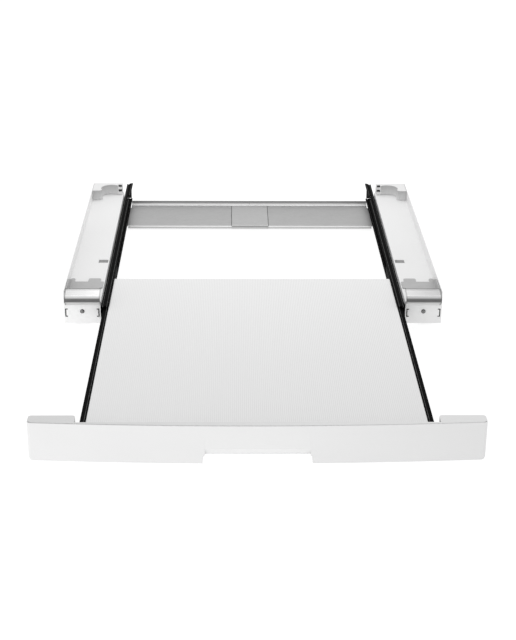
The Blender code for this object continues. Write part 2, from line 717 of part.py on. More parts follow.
def add_slide_outer(kit, label, side, black):
    """Fixed member of a slide: a channel, open to the middle, with a ball race top and bottom."""
    high, low = SLIDE_TOP - RACE_RISE, SLIDE_BOTTOM + RACE_RISE
    web = bent([race(RACE_MIDDLE, high, 0)[-1], (SLIDE_OUT, high), (SLIDE_OUT, low),
                race(RACE_MIDDLE, low, 0)[-1]], SLIDE_BEND_RADIUS)
    path = [(SLIDE_IN, high)] + race(RACE_MIDDLE, high, RACE_RISE) + web[1:-1]
    path += race(RACE_MIDDLE, low, -RACE_RISE)[::-1] + [(SLIDE_IN, low)]
    outline = sheet(path[::-1], SLIDE_SHEET)
    shape = prism(bmesh.new(), "Y", outline, SLIDE_FRONT, SLIDE_TIP)
    origin = (SLIDE_OUT, SLIDE_FRONT, SLIDE_MIDDLE)
    outer = piece("slide_outer_" + label, shape, black, kit, origin, side)
    cut(outer, slide_end_cutters(), side)
    cut(outer, slide_screw_cutters(), side)


def slide_end_cutters():
    """Leaves a slanted toe of the upper flange at the back, and cuts the notch before it."""
    cutters = bmesh.new()
    below = SLIDE_TOP - RACE_RISE - 2 * SLIDE_SHEET
    block(cutters, (SLIDE_IN - OVERRUN, SLIDE_BACK, SLIDE_BOTTOM - OVERRUN),
          (SLIDE_OUT + OVERRUN, SLIDE_TIP + OVERRUN, below))
    slant = [
        (SLIDE_IN - OVERRUN, SLIDE_TIP + OVERRUN),
        (SLIDE_IN, SLIDE_TIP),
        (SLIDE_OUT + OVERRUN, SLIDE_TIP - SLIDE_TOE_SLANT),
        (SLIDE_OUT + OVERRUN, SLIDE_TIP + OVERRUN),
    ]
    prism(cutters, "Z", slant, below + SLIDE_SHEET / 2, SLIDE_TOP + OVERRUN)
    notch = SLIDE_BACK - SLIDE_NOTCH_FROM_BACK
    block(cutters, (SLIDE_IN - OVERRUN, notch, below),
          (SLIDE_IN + SLIDE_NOTCH_WIDTH, notch + SLIDE_NOTCH_LENGTH, SLIDE_TOP + OVERRUN))
    return cutters


def slide_screw_cutters():
    """Countersunk holes through the channel's web."""
    cutters = bmesh.new()
    shank = ((BORE_RADIUS, SLIDE_OUT), (BORE_RADIUS, SLIDE_OUT + OVERRUN))
    for y in slide_screw_places():
        profile = ((SCREW_HEAD_RADIUS, SLIDE_WEB - OVERRUN), (SCREW_HEAD_RADIUS, SLIDE_WEB))
        turned(cutters, "X", (y, SLIDE_MIDDLE), profile + shank)
    return cutters


def add_mount_strip(kit, label, side, galvanised):
    """Strip that holds the slide off the rail's wall."""
    low, high = SLIDE_OUT + GAP, RAIL_IN - GAP
    half = MOUNT_STRIP_HEIGHT / 2
    shape = block(
        bmesh.new(),
        (low, MOUNT_STRIP_END_MARGIN, SLIDE_MIDDLE - half),
        (high, RAIL_LENGTH - MOUNT_STRIP_END_MARGIN, SLIDE_MIDDLE + half),
    )
    origin = (high, MOUNT_STRIP_END_MARGIN, SLIDE_MIDDLE)
    strip = piece("slide_mount_strip_" + label, shape, galvanised, kit, origin, side)
    cutters = bmesh.new()
    for y in slide_screw_places():
        bore(cutters, "X", (y, SLIDE_MIDDLE), low - OVERRUN, high + OVERRUN)
    cut(strip, cutters, side)


def add_slide_inner(drawer, label, side, black):
    """Moving member of a slide: a channel, open to the rail, screwed to the shelf's side."""
    edge = INNER_IN + INNER_WIDTH
    corners = [(edge, INNER_BOTTOM), (INNER_IN, INNER_BOTTOM), (INNER_IN, INNER_TOP)]
    path = bent(corners + [(edge, INNER_TOP)], SLIDE_BEND_RADIUS)
    outline = sheet(path[::-1], SLIDE_SHEET)
    shape = prism(bmesh.new(), "Y", outline, INNER_FRONT, INNER_REAR)
    origin = (INNER_IN, INNER_FRONT, SLIDE_MIDDLE)
    inner = piece("slide_inner_" + label, shape, black, drawer, origin, side)
    cutters = bmesh.new()
    for y in shelf_screw_places():
        ends = (INNER_IN - OVERRUN, INNER_IN + SLIDE_SHEET + OVERRUN)
        bore(cutters, "X", (y, SLIDE_MIDDLE), *ends)
    cut(inner, cutters, side)


def add_ball_cage(cage, label, side, steel):
    """Cage with two rows of balls, which rolls at half the shelf's travel."""
    half = CAGE_SHEET / 2
    edge = RACE_MIDDLE - BALL_DIAMETER / 2
    high, low = BALL_HIGH + half, 2 * SLIDE_MIDDLE - BALL_HIGH - half
    corners = [(edge, low), (CAGE_WEB, low), (CAGE_WEB, high), (edge, high)]
    outline = sheet(bent(corners, CAGE_SHEET), CAGE_SHEET)
    shape = prism(bmesh.new(), "Y", outline, CAGE_FRONT, CAGE_FRONT + CAGE_LENGTH)
    origin = (CAGE_WEB, CAGE_FRONT, SLIDE_MIDDLE)
    obj = piece("ball_cage_" + label, shape, steel, cage, origin, side)
    balls = bmesh.new()
    pitch = CAGE_LENGTH / BALLS_IN_A_ROW
    for i in range(BALLS_IN_A_ROW):
        for height in (BALL_HIGH, 2 * SLIDE_MIDDLE - BALL_HIGH):
            made = bmesh.ops.create_uvsphere(
                balls, u_segments=BALL_SEGMENTS, v_segments=BALL_RINGS, radius=BALL_DIAMETER / 2)
            place = (RACE_MIDDLE, CAGE_FRONT + pitch * (i + 1 / 2), height)
            bmesh.ops.translate(balls, vec=place, verts=made["verts"])
    join(obj, balls, side)


def add_slide_ends(kit, label, side, plastic, rubber):
    """The cage's front stop and the shelf's rear bumper, both inside the fixed channel."""
    high = SLIDE_WEB - GAP
    stop_back = CAGE_FRONT - 2 * GAP
    half = STOP_HEIGHT / 2
    stop = block(bmesh.new(), (high - STOP_DEPTH, stop_back - STOP_LENGTH, SLIDE_MIDDLE - half),
                 (high, stop_back, SLIDE_MIDDLE + half))
    origin = (high, stop_back, SLIDE_MIDDLE)
    piece("cage_stop_" + label, stop, plastic, kit, origin, side)
    half = BUMPER_HEIGHT / 2
    start = SLIDE_BACK - BUMPER_LENGTH
    bumper = block(bmesh.new(), (SLIDE_IN + SLIDE_SHEET, start, SLIDE_MIDDLE - half),
                   (high, SLIDE_BACK, SLIDE_MIDDLE + half))
    piece("rear_bumper_" + label, bumper, rubber, kit, (high, SLIDE_BACK, SLIDE_MIDDLE), side)


def add_cross_plate(kit, label, side, galvanised):
    """Half of the cross member: a flat web with a flange down in front and up behind."""
    front = bent([(CROSS_FRONT, CROSS_TOP - CROSS_FRONT_FLANGE), (CROSS_FRONT, CROSS_TOP),
                  (CROSS_BACK, CROSS_TOP)], CROSS_FRONT_BEND)
    back = bent([(CROSS_FRONT, CROSS_TOP), (CROSS_BACK - CROSS_SHEET, CROSS_TOP),
                 (CROSS_BACK - CROSS_SHEET, CROSS_TOP + CROSS_REAR_FLANGE)], CROSS_REAR_BEND)
    outline = sheet((front[:-1] + back[1:])[::-1], CROSS_SHEET)
    shape = prism(bmesh.new(), "X", outline, GAP, TONGUE_END)
    origin = (0, CROSS_FRONT, CROSS_TOP)
    plate = piece("cross_plate_" + label, shape, galvanised, kit, origin, side)
    tongue = bmesh.new()
    levels = (CROSS_TOP - CROSS_FRONT_FLANGE - OVERRUN, CROSS_TOP + CROSS_REAR_FLANGE + OVERRUN)
    end = TONGUE_END + OVERRUN
    block(tongue, (CROSS_HALF_WIDTH, CROSS_FRONT - OVERRUN, levels[0]),
          (end, TONGUE_FRONT, levels[1]))
    block(tongue, (CROSS_HALF_WIDTH, TONGUE_BACK, levels[0]),
          (end, CROSS_BACK + OVERRUN, levels[1]))
    places = tongue_screw_places() + tuple(p for p in joiner_screw_places() if p[0] > 0)
    for place in places:
        bore(tongue, "Z", place, CROSS_UNDERSIDE - OVERRUN, CROSS_TOP + OVERRUN)
    cut(plate, tongue, side)


def add_joiner(kit, galvanised):
    """Plate over the middle of the cross member, which ties its two halves."""
    top = CROSS_TOP + GAP + JOINER_SHEET
    front = CROSS_FRONT - GAP - JOINER_SHEET
    back = CROSS_BACK - 2 * CROSS_REAR_BEND
    corners = [(front, CROSS_TOP - CROSS_FRONT_FLANGE), (front, top), (back, top)]
    outline = sheet(bent(corners, CROSS_FRONT_BEND + JOINER_SHEET)[::-1], JOINER_SHEET)
    half = JOINER_WIDTH / 2
    shape = prism(bmesh.new(), "X", outline, -half, half)
    piece("joiner_plate", shape, galvanised, kit, (0, CROSS_FRONT, top))


def add_shelf(drawer, white):
    """Folded sheet shelf: a flat top, a flange down each edge and a lip along both sides."""
    half = SHELF_WIDTH / 2
    low, high = (-half, SHELF_FRONT, SHELF_BOTTOM), (half, SHELF_BACK, SHELF_TOP)
    shape = block(bmesh.new(), low, high)
    shelf = piece("shelf_pan", shape, white, drawer, (0, SHELF_FRONT, SHELF_TOP))
    round_off(shelf, SHELF_EDGE_RADIUS)
    inside = half - SHELF_SHEET
    ends = (SHELF_FRONT + SHELF_SHEET, SHELF_BACK - SHELF_SHEET)
    lip_top = SHELF_BOTTOM + SHELF_SHEET
    cut(shelf, block(bmesh.new(), (-inside, ends[0], lip_top),
                     (inside, ends[1], SHELF_TOP - SHELF_SHEET)))
    cut(shelf, block(bmesh.new(), (SHELF_LIP - half, ends[0], SHELF_BOTTOM - OVERRUN),
                     (half - SHELF_LIP, ends[1], lip_top + OVERRUN)))
    cutters = bmesh.new()
    for _, side in SIDES:
        for y in shelf_screw_places():
            reach = sorted((side * (inside - OVERRUN), side * (half + OVERRUN)))
            bore(cutters, "X", (y, SLIDE_MIDDLE), *reach)
    for x in panel_screw_places():
        bore(cutters, "Y", (x, PANEL_SCREW_HEIGHT), SHELF_FRONT - OVERRUN, ends[0] + OVERRUN)
    cut(shelf, cutters)


def add_stiffeners(drawer, galvanised):
    """Hat-section stiffeners across the shelf's underside."""
    top = SHELF_TOP - SHELF_SHEET - GAP
    half = SHELF_WIDTH / 2 - SHELF_LIP - SHELF_SHEET
    for label, share in zip(("front", "rear"), STIFFENER_SHARES):
        middle = SHELF_FRONT + share * (SHELF_BACK - SHELF_FRONT)
        edge = STIFFENER_WIDTH / 2
        knee = edge - STIFFENER_FOOT
        crown = knee - STIFFENER_SLOPE
        low = top - STIFFENER_HEIGHT
        path = [(middle - edge, top), (middle - knee, top), (middle - crown, low),
                (middle + crown, low), (middle + knee, top), (middle + edge, top)]
        outline = sheet(path[::-1], STIFFENER_SHEET)
        shape = prism(bmesh.new(), "X", outline, -half, half)
        piece("shelf_stiffener_" + label, shape, galvanised, drawer, (0, middle, top))


def panel_bow(x):
    """How far the panel's front falls back from its middle."""
    return PANEL_BOW * (2 * x / OVERALL_WIDTH) ** 2


def panel_outline(inset, back):
    """The panel seen from above, shrunk by a wall at the front and the ends."""
    half = OVERALL_WIDTH / 2 - inset
    radius = PANEL_END_RADIUS - inset
    front = []
    for i in range(PANEL_BOW_STEPS + 1):
        share = 2 * i / PANEL_BOW_STEPS - 1
        x = share * (half - radius)
        front.append((x, PANEL_FRONT + inset + panel_bow(x)))
    left = panel_corner(front[0], -half, back, radius)[::-1]
    right = panel_corner(front[-1], half, back, radius)
    return left + front[1:-1] + right, half


def panel_corner(place, x, back, radius):
    """The panel's rounded corner between its front and its end."""
    arc = bent([place, (x, place[1]), (x, back)], radius)[1:-1]
    return [tuple(p) for p in arc]


def add_front_panel(drawer, white):
    """Hollow bowed panel with deeper ends, a finger cut-out and four screw bosses."""
    ear_back = PANEL_BACK + PANEL_EAR_DEPTH
    ear_in = OVERALL_WIDTH / 2 - PANEL_EAR_WIDTH
    front, half = panel_outline(0, ear_back)
    outline = front + [(half, ear_back), (ear_in, ear_back), (ear_in, PANEL_BACK),
                       (-ear_in, PANEL_BACK), (-ear_in, ear_back), (-half, ear_back)]
    shape = prism(bmesh.new(), "Z", outline, PANEL_BOTTOM, PANEL_TOP)
    panel = piece("front_panel", shape, white, drawer, (0, PANEL_FRONT, PANEL_BOTTOM))
    round_off(panel, PANEL_EDGE_RADIUS)
    cutter = cut(panel, panel_hollow(ear_back, ear_in))
    reach = HANDLE_WIDTH / 2 + PANEL_WALL
    roof = HANDLE_HEIGHT + SCOOP_HEIGHT + PANEL_WALL + PANEL_BOTTOM
    keep = block(bmesh.new(), (-reach, PANEL_FRONT - OVERRUN, PANEL_BOTTOM - OVERRUN),
                 (reach, PANEL_BACK + 2 * OVERRUN, roof))
    boolean(cutter, new_object("keep_handle", keep, drawer, (0, 0, 0), 1), "DIFFERENCE")
    bosses, bores = bmesh.new(), bmesh.new()
    for x in panel_screw_places():
        place = (x, PANEL_SCREW_HEIGHT)
        root = PANEL_FRONT + PANEL_WALL / 2 + panel_bow(x)
        bore(bosses, "Y", place, root, PANEL_BACK, BOSS_RADIUS)
        bore(bores, "Y", place, PANEL_BACK - BOSS_BORE_DEPTH, PANEL_BACK + OVERRUN)
    join(panel, bosses)
    cut(panel, bores)
    cut(panel, handle_opening())
    cut(panel, handle_scoop())


def panel_hollow(ear_back, ear_in):
    """The space inside the front panel, open at the back."""
    front, half = panel_outline(PANEL_WALL, ear_back)
    inner = ear_in + PANEL_WALL
    outline = front + [(half, ear_back + OVERRUN), (inner, ear_back + OVERRUN),
                       (inner, PANEL_BACK + OVERRUN), (-inner, PANEL_BACK + OVERRUN),
                       (-inner, ear_back + OVERRUN), (-half, ear_back + OVERRUN)]
    levels = (PANEL_BOTTOM + PANEL_WALL, PANEL_TOP - PANEL_WALL)
    return prism(bmesh.new(), "Z", outline, *levels)


def handle_opening():
    """The finger cut-out in the panel's lower edge, with rounded upper corners."""
    half = HANDLE_WIDTH / 2
    top = PANEL_BOTTOM + HANDLE_HEIGHT
    low = PANEL_BOTTOM - OVERRUN
    outline = bent([(-half, low), (-half, top), (half, top), (half, low)], HANDLE_CORNER)
    ends = (PANEL_FRONT - OVERRUN, PANEL_BACK + 2 * OVERRUN)
    return prism(bmesh.new(), "Y", [tuple(p) for p in outline], *ends)


def handle_scoop():
    """The hollowed slope above the cut-out, where fingers reach in."""
    half = HANDLE_WIDTH / 2 - SCOOP_END_MARGIN
    low = PANEL_BOTTOM + HANDLE_HEIGHT
    high = low + SCOOP_HEIGHT
    slope = SCOOP_HEIGHT / SCOOP_DEPTH
    outline = [
        (PANEL_FRONT - OVERRUN, high + slope * OVERRUN),
        (PANEL_FRONT + SCOOP_DEPTH, low),
        (PANEL_FRONT + SCOOP_DEPTH, low - OVERRUN),
        (PANEL_FRONT - OVERRUN, low - OVERRUN),
    ]
    return prism(bmesh.new(), "X", outline, -half, half)


def add_rail_screws(kit, label, side, long_screw, short_screw, sunk_screw):
    """The screws of one rail: front plate, foot block, slide and cross member."""
    place = (side * RAIL_MIDDLE, -GAP, FRONT_SCREW_HEIGHT)
    screw("front_screw_" + label, long_screw, kit, place, "front")
    x, y = block_screw_place()
    screw("block_screw_" + label, long_screw, kit, (side * x, y, TRAY_UNDERSIDE - GAP), "down")
    for where, y in zip(("front", "rear"), slide_screw_places()):
        name = "slide_screw_{}_{}".format(label, where)
        screw(name, sunk_screw, kit, (side * SLIDE_WEB, y, SLIDE_MIDDLE), outward(-side))
    for where, (x, y) in zip(("front", "rear"), tongue_screw_places()):
        name = "cross_screw_{}_{}".format(label, where)
        screw(name, short_screw, kit, (side * x, y, CROSS_TOP + GAP), "up")


def add_shelf_screws(drawer, label, side, mesh):
    """The screws from a slide's moving member into the shelf's side."""
    x = side * (INNER_IN + SLIDE_SHEET + GAP)
    for where, y in zip(("front", "rear"), shelf_screw_places()):
        name = "shelf_screw_{}_{}".format(label, where)
        screw(name, mesh, drawer, (x, y, SLIDE_MIDDLE), outward(side))


def build():
    """Builds the whole kit."""
    for obj in list(bpy.data.objects):
        bpy.data.objects.remove(obj)

    white = finish("white_paint", (0.86, 0.86, 0.86), 0.42)
    block_white = finish("foot_block_plastic", (0.86, 0.86, 0.86), 0.5)
    shelf_white = finish("shelf_white", (0.84, 0.84, 0.84), 0.5)
    panel_white = finish("panel_plastic", (0.85, 0.85, 0.85), 0.38)
    bright = finish("bright_steel", (0.75, 0.75, 0.76), 0.25, 1.0)
    galvanised = finish("galvanised", (0.55, 0.56, 0.57), 0.45, 1.0)
    black = finish("black_slide", (0.02, 0.02, 0.022), 0.35)
    cage_steel = finish("cage_steel", (0.5, 0.5, 0.5), 0.35, 1.0)
    zinc = finish("zinc_screw", (0.6, 0.6, 0.6), 0.35, 1.0)
    grey = finish("grey_mat", (0.42, 0.42, 0.42), 0.7)
    grey_plastic = finish("grey_plastic", (0.42, 0.42, 0.42), 0.6)
    rubber = finish("black_rubber", (0.03, 0.03, 0.03), 0.8)

    kit = empty("stacking_kit", (0, -ORIGIN_Y, GRIP_PROUD))
    drawer = empty("drawer", (0, SHELF_FRONT, SHELF_TOP), kit)

    short_length = SLIDE_SHEET + SHELF_SHEET + 4 * GAP
    sunk_length = RAIL_IN - SLIDE_WEB + RAIL_SHEET + 2 * SLIDE_SHEET
    tongue_length = CROSS_TOP + GAP - FLANGE_LIFT
    long_screw = screw_mesh("long_screw", LONG_SCREW - 2 * GAP, False, zinc)
    side_screw = screw_mesh("side_screw", short_length, False, zinc)
    tongue_screw = screw_mesh("tongue_screw", tongue_length, False, zinc)
    panel_length = SHELF_SHEET + BOSS_BORE_DEPTH + GAP
    panel_screw = screw_mesh("panel_screw", panel_length, False, zinc)
    joiner_screw = screw_mesh("joiner_screw", CROSS_SHEET + GAP, False, zinc)
    sunk_screw = screw_mesh("sunk_screw", sunk_length, True, zinc)

    for label, side in SIDES:
        add_rail(kit, label, side, white)
        add_grip_strips(kit, label, side, rubber)
        add_front_plate(kit, label, side, white)
        add_foot_retainer(kit, label, side, bright)
        add_mat(kit, label, side, grey)
        add_foot_block(kit, label, side, block_white)
        add_pocket_liner(kit, label, side, grey)
        add_mount_strip(kit, label, side, galvanised)
        add_slide_outer(kit, label, side, black)
        add_slide_ends(kit, label, side, grey_plastic, rubber)
        add_cross_plate(kit, label, side, galvanised)
        add_slide_inner(drawer, label, side, black)
        cage = empty("cage_" + label, (side * CAGE_WEB, CAGE_FRONT, SLIDE_MIDDLE), kit)
        add_ball_cage(cage, label, side, cage_steel)
        add_rail_screws(kit, label, side, long_screw, tongue_screw, sunk_screw)
        add_shelf_screws(drawer, label, side, side_screw)

    add_joiner(kit, galvanised)
    for i, (x, y) in enumerate(joiner_screw_places()):
        place = (x, y, CROSS_UNDERSIDE - GAP)
        screw("joiner_screw_{}".format(i + 1), joiner_screw, kit, place, "down")

    add_shelf(drawer, shelf_white)
    add_stiffeners(drawer, galvanised)
    add_front_panel(drawer, panel_white)
    for i, x in enumerate(panel_screw_places()):
        place = (x, SHELF_FRONT + SHELF_SHEET + GAP, PANEL_SCREW_HEIGHT)
        screw("panel_screw_{}".format(i + 1), panel_screw, drawer, place, "back")


build()
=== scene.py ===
"""Looks of a kit that stands a dryer on a washing machine: finishes, finer shapes, light and camera.

Metres, +Z up, +Y to the back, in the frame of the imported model, which stands on z = 0. Every node of
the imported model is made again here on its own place, with rounded edges or a finer form.
"""

from math import cos, pi, radians, sin, tan

import bmesh
import bpy
from mathutils import Matrix, Vector


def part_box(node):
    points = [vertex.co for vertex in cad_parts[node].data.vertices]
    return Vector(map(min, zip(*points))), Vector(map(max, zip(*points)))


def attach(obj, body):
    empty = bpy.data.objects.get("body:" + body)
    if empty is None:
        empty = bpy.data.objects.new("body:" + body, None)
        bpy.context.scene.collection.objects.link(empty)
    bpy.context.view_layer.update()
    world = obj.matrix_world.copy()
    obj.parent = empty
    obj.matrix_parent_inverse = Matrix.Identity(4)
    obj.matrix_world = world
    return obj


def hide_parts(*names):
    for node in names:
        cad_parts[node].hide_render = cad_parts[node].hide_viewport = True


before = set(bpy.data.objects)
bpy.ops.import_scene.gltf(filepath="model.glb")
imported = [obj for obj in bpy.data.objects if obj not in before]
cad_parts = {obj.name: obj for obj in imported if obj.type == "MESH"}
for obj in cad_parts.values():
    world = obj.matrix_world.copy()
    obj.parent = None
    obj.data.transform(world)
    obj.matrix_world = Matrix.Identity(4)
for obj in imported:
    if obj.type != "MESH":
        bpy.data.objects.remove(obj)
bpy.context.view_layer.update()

SIDES = (("left", -1), ("right", 1))
KIT, DRAWER = "kit", "drawer"
GAP = 0.0003  # between pieces that touch
PAST = 0.002  # how far a cutter runs past what it cuts
HAIR = 0.00002  # welds the corners that faces share
FLAT = radians(0.3)  # faces that turn less than this are one face
SHARP = radians(35)  # edges that turn more than this get rounded
BEND_STEPS = 8  # facets of a bent corner
MICRON = 0.000001
NOISE_SPAN = (0.3, 0.7)  # most of a noise lies between these

# Camera, found from the photograph
CAMERA_PLACE = (-0.0333, -2.1913, 0.9211)
CAMERA_PITCH = radians(23.381)
CAMERA_YAW = radians(1.113)
CAMERA_ROLL = radians(0.453)
CAMERA_LENS = 81.502  # millimetres, as the sensor's width is
SENSOR_WIDTH = 36

# Studio
WHITE = (1, 1, 1, 1)
FLOOR_SIZE = 24.0
FLOOR_TONE = 0.3
FLOOR_GLOW = 0.82
SURROUND_LIGHT = 0.78
SOFT_BOXES = (  # name, place, the point that it faces, size, watts
    ("top_box", (0, 0.7, 0.9), (0, 0.0, 0), 0.8, 3.0),
    ("front_left_box", (-1.0, -1.2, 0.45), (-0.25, -0.1, 0), 0.5, 1.6),
)

# Rounded edges
EDGE_STEPS = 3
SMALL_EDGE = 0.0002
SMALL_EDGE_STEPS = 2
SHEET_EDGE = 0.0003
PLAIN_PIECES = (  # start of the name, body, finish and edge of the nodes that keep their form
    ("rail_", KIT, "white_paint", 0.0005),
    ("front_plate_", KIT, "white_paint", 0.00035),
    ("foot_mat_", KIT, "grey_mat", 0.0004),
    ("rear_foot_block_", KIT, "foot_block_plastic", 0.0008),
    ("pocket_liner_", KIT, "grey_mat", SHEET_EDGE),
    ("slide_mount_strip_", KIT, "galvanised", SHEET_EDGE),
    ("slide_outer_", KIT, "black_slide", SHEET_EDGE),
    ("slide_inner_", DRAWER, "black_slide", SHEET_EDGE),
    ("cage_stop_", KIT, "grey_plastic", 0.0008),
    ("rear_bumper_", KIT, "black_rubber", 0.0006),
    ("cross_plate_", KIT, "galvanised", SHEET_EDGE),
)

# Shelf
SHELF_SHEET = 0.0015
SHELF_LIP = 0.009
SHELF_FOLD = 0.0019
RIB_PITCH = 0.0027
RIB_DEPTH = 0.0001
RIB_SHARES = ((0.0, 1.0), (0.09, 0.35), (0.25, 0.0), (0.75, 0.0), (0.91, 0.35))  # of pitch, depth

# Foot retainers
RETAINER_SHEET = 0.0012
RETAINER_CREASE = 0.0068  # from the front plate's face to the end of the flat top
NOSE_RADIUS = 0.0072
NOSE_DROP = 0.0104
NOSE_START = radians(104.5)
NOSE_END = radians(270)
NOSE_STEPS = 40

# Front panel
PANEL_WALL = 0.0025
PANEL_BOW = 0.0103
PANEL_BOW_STEPS = 64
PANEL_DEPTH = 0.0125
PANEL_EAR_WIDTH = 0.0612
PANEL_EDGE = 0.0014
PANEL_EDGE_STEPS = 5
PANEL_END_RADIUS = 0.005
PANEL_EAR_RADIUS = 0.004  # rear outer corner
PANEL_FOOT_RADIUS = 0.006  # lower outer corners, seen from the front
GROOVE_INSET = 0.0014  # fine groove along the top, behind the front edge
GROOVE_WIDTH = 0.0008
GROOVE_SINK = 0.0008
HANDLE_WIDTH = 0.1436
HANDLE_HEIGHT = 0.0119
HANDLE_CORNER = 0.005
HANDLE_STEPS = 10
SCOOP_HEIGHT = 0.0105
SCOOP_DEPTH = 0.005
SCOOP_END_MARGIN = 0.003
SCOOP_RIDGES = 4
SCOOP_RIDGE = 0.00035
PANEL_SCREWS = 4
BOSS_RADIUS = 0.005
BOSS_STEPS = 24

# Ball cages
BALL_RADIUS = 0.00155
BALL_STEPS = 14
BALLS_IN_A_ROW = 14
CAGE_SHEET = 0.0008
EYELET_RADIUS = 0.0021
EYELET_STEPS = 20
CAGE_BAR = 0.004
CAGE_BANDS = 5  # heights of a band that fit between the two rows

# Screws
HEAD_RADIUS = 0.0034
HEAD_HEIGHT = 0.0019
DOME_START = 12  # degrees from the head's top
DOME_STEPS = 6
DOME_SHARE = 0.75  # of the head's height
SHANK_RADIUS = 0.0016
SUNK_DEPTH = 0.0013
SUNK_FLAT = 0.0006
SUNK_EDGE = 0.0003
THREAD_PITCH = 0.0007
THREAD_DEPTH = 0.00025
SCREW_STEPS = 28
CROSS_WIDTH = 0.00085
CROSS_REACH = 0.0021
CROSS_DEPTH = 0.0013
CROSS_OVERRUN = 0.0007
CROSS_MOUTH_SHARE = 1.3  # of the cross's reach, above the head
CROSS_FOOT_SHARE = 0.3  # of the cross's reach, at the recess's bottom
LENGTH_DIGITS = 5  # screws whose lengths agree to this digit share a mesh
FIRST_TURN = 50  # degrees that the first screw's cross is turned
NEXT_TURN = 37  # degrees more for each next screw
FACINGS = {
    "front_screw": (0, -1, 0), "block_screw": (0, 0, -1), "cross_screw": (0, 0, 1),
    "joiner_screw": (0, 0, -1), "panel_screw": (0, 1, 0),
}

# Dark clip behind each of the front plates' slots, with a hook in each rail's inner slot, which paint
# the shade seen through the slots
SHADE_CLIP_MARGIN = 0.0017
SHADE_CLIP_WIDTH = 0.008
SHADE_CLIP_REACH = 0.0105
SHADE_CLIP_DEPTH = 0.002
SHADE_CLIP_GAP = 0.0002
SHADE_HOOK_FROM_SIDE = 0.0028
SHADE_HOOK_WIDTH = 0.0018
SHADE_HOOK_HEIGHT = 0.014
SHADE_HOOK_LENGTH = 0.0042
SHADE_HOOK_BOTTOM = 0.011
SHADE_HOOK_PLAY = 0.00015
SHADE_HOOK_SINK = 0.0003

# Slots beside the rear pockets, and a dark tongue in each that paints the shade inside it
ARM_DEPTH = 0.0138
ARM_SLOTS = (0.0054, 0.0142)
ARM_SLOT_HEIGHT = 0.0046
ARM_SLOT_MARGIN = 0.0014
ARM_SLOT_SINK = 0.0012
SHADE_TONGUE_GAP = 0.0011
SHADE_TONGUE_DEPTH = 0.002

# Grey plates under the trays' holes, which paint the shade seen through them
HOLE_START = 0.0016  # from the rail's inner side
HOLE_END = 0.0195
HOLE_FRONT = 0.172
HOLE_BACK = 0.192
HOLE_SHADE_PLATE_DROP = 0.0029  # below the tray's floor
HOLE_SHADE_PLATE_SHEET = 0.001

# Dark strips beside the joiner plate that paint its contact shadow, and the joint of the rear flanges
SHADOW_STRIP_WIDTH = 0.0009
SHADOW_STRIP_INSET = 0.003
SHADOW_STRIP_DROP = 0.0013
SHADOW_STRIP_EDGE_SHARE = 0.125  # of the strip's width
JOINT_DEPTH = 0.0011
JOINT_HEIGHT = 0.008

# Grip strips
GROOVES = 4
GROOVE_DEPTH = 0.0004

# Tones from 0, black, to 1, white. A plain pair is the two ends of a cloud
COAT_TONES = (0.845, 0.872)
COAT_SPECKLE = 0.78
# painted light on faces that face front: lighter at the left end, painted shade toward the right
COAT_FRONT_PAINTED_LIGHT = (0.98, 0.85)
SHELF_TONES = (0.89, 0.905)
SHELF_FRONT_SHADE = 0.845  # painted shade, darkest at the front edge
# painted shade in the grooves between the ribs
SHELF_GROOVE_SHADE = 0.72
PANEL_TONES = (0.835, 0.855)
PANEL_RIGHT_SHADE = 0.775  # painted shade, darkest at the right end
PANEL_TOP_PAINTED_LIGHT = (0.7, 0.82)  # painted light and shade on top faces, from the left end to the right
BLOCK_TONES = (0.80, 0.825)
STEEL_TOP_REFLECTION = (0.62, 0.53)  # painted reflection on the left retainer and the right one, which are lit differently, as in the next two
STEEL_FLAT_REFLECTION = (0.46, 0.43)
STEEL_BROW_HIGHLIGHT = (0.98, 0.8)
STEEL_BACK_EDGE_SHADOW = 0.1
STEEL_NOSE_DARK_REFLECTION = 0.13
STEEL_LIP_REFLECTION = 0.6
STEEL_SMEAR = 0.4
STEEL_OUTER_END_SHADE = 0.12
STEEL_INNER_END_SHADE = 0.2
BLACK_TONES = (0.002, 0.006)
BLACK_DUST = 0.01
# painted highlight along a slide's edges
BLACK_EDGE_HIGHLIGHT = (0.06, 0.16)
CAGE_TONES = (0.52, 0.7)
CAGE_WARMTH = 0.01
MAT_TONES = (0.46, 0.5)
MAT_GRAIN = 0.42
LINER_PALE = 0.8
PLASTIC_TONES = (0.26, 0.3)
RUBBER_TONES = (0.022, 0.045)
PLATE_ZINC = (0.45, 0.78)  # flat web, and painted highlight on rounded bends
# the joiner's rounded bends take painted shade, darker than its web
JOINER_ZINC = (0.48, 0.4)
ZINC_SPANGLE_SHARES = (0.97, 1.03)  # of the web's tone
ZINC_CLOUD_SHARE = 1.08
# painted light on upright faces, as a share of the web's tone
ZINC_UPRIGHT_LIGHT_SHARE = 1.1
SCREW_ZINC = (0.62, 0.6)  # level faces, and the others
# front screws: painted shade on the head, near black on the recess walls and sides
FRONT_SCREW_SHADED_ZINC = (0.34, 0.03)
SCREW_SHARES = (0.9, 1.1)  # of the level faces' tone

# Where a finish starts to change and where it ends, in metres from the place named; on the retainers
# these place painted reflection, highlight, shadow and shade, and on the slides painted highlights
FLAT_RAMP = (-0.0004, -0.0002)  # a retainer's top
BACK_RAMP = (-0.0026, -0.0013)  # its back edge, with painted shadow
BROW_RAMP = (0.0064, 0.0072)  # the middle of its nose
NOSE_RAMP = (0.0019, 0.0054)
LIP_RAMP = (-0.0042, -0.0024)
OUTER_END_RAMP = (-0.0022, -0.0016)  # its outer end, with painted shade
INNER_END_RAMP = (0.0012, 0.002)  # its inner end, with painted shade
LINER_RAMP = (-0.02, -0.01)  # a pocket liner's front
SLIDE_HIGHLIGHT_LINES = (0.0021, 0.0086)  # painted highlight lines along a slide's edges, from its inner side
SLIDE_HIGHLIGHT_WIDTH = 0.0005

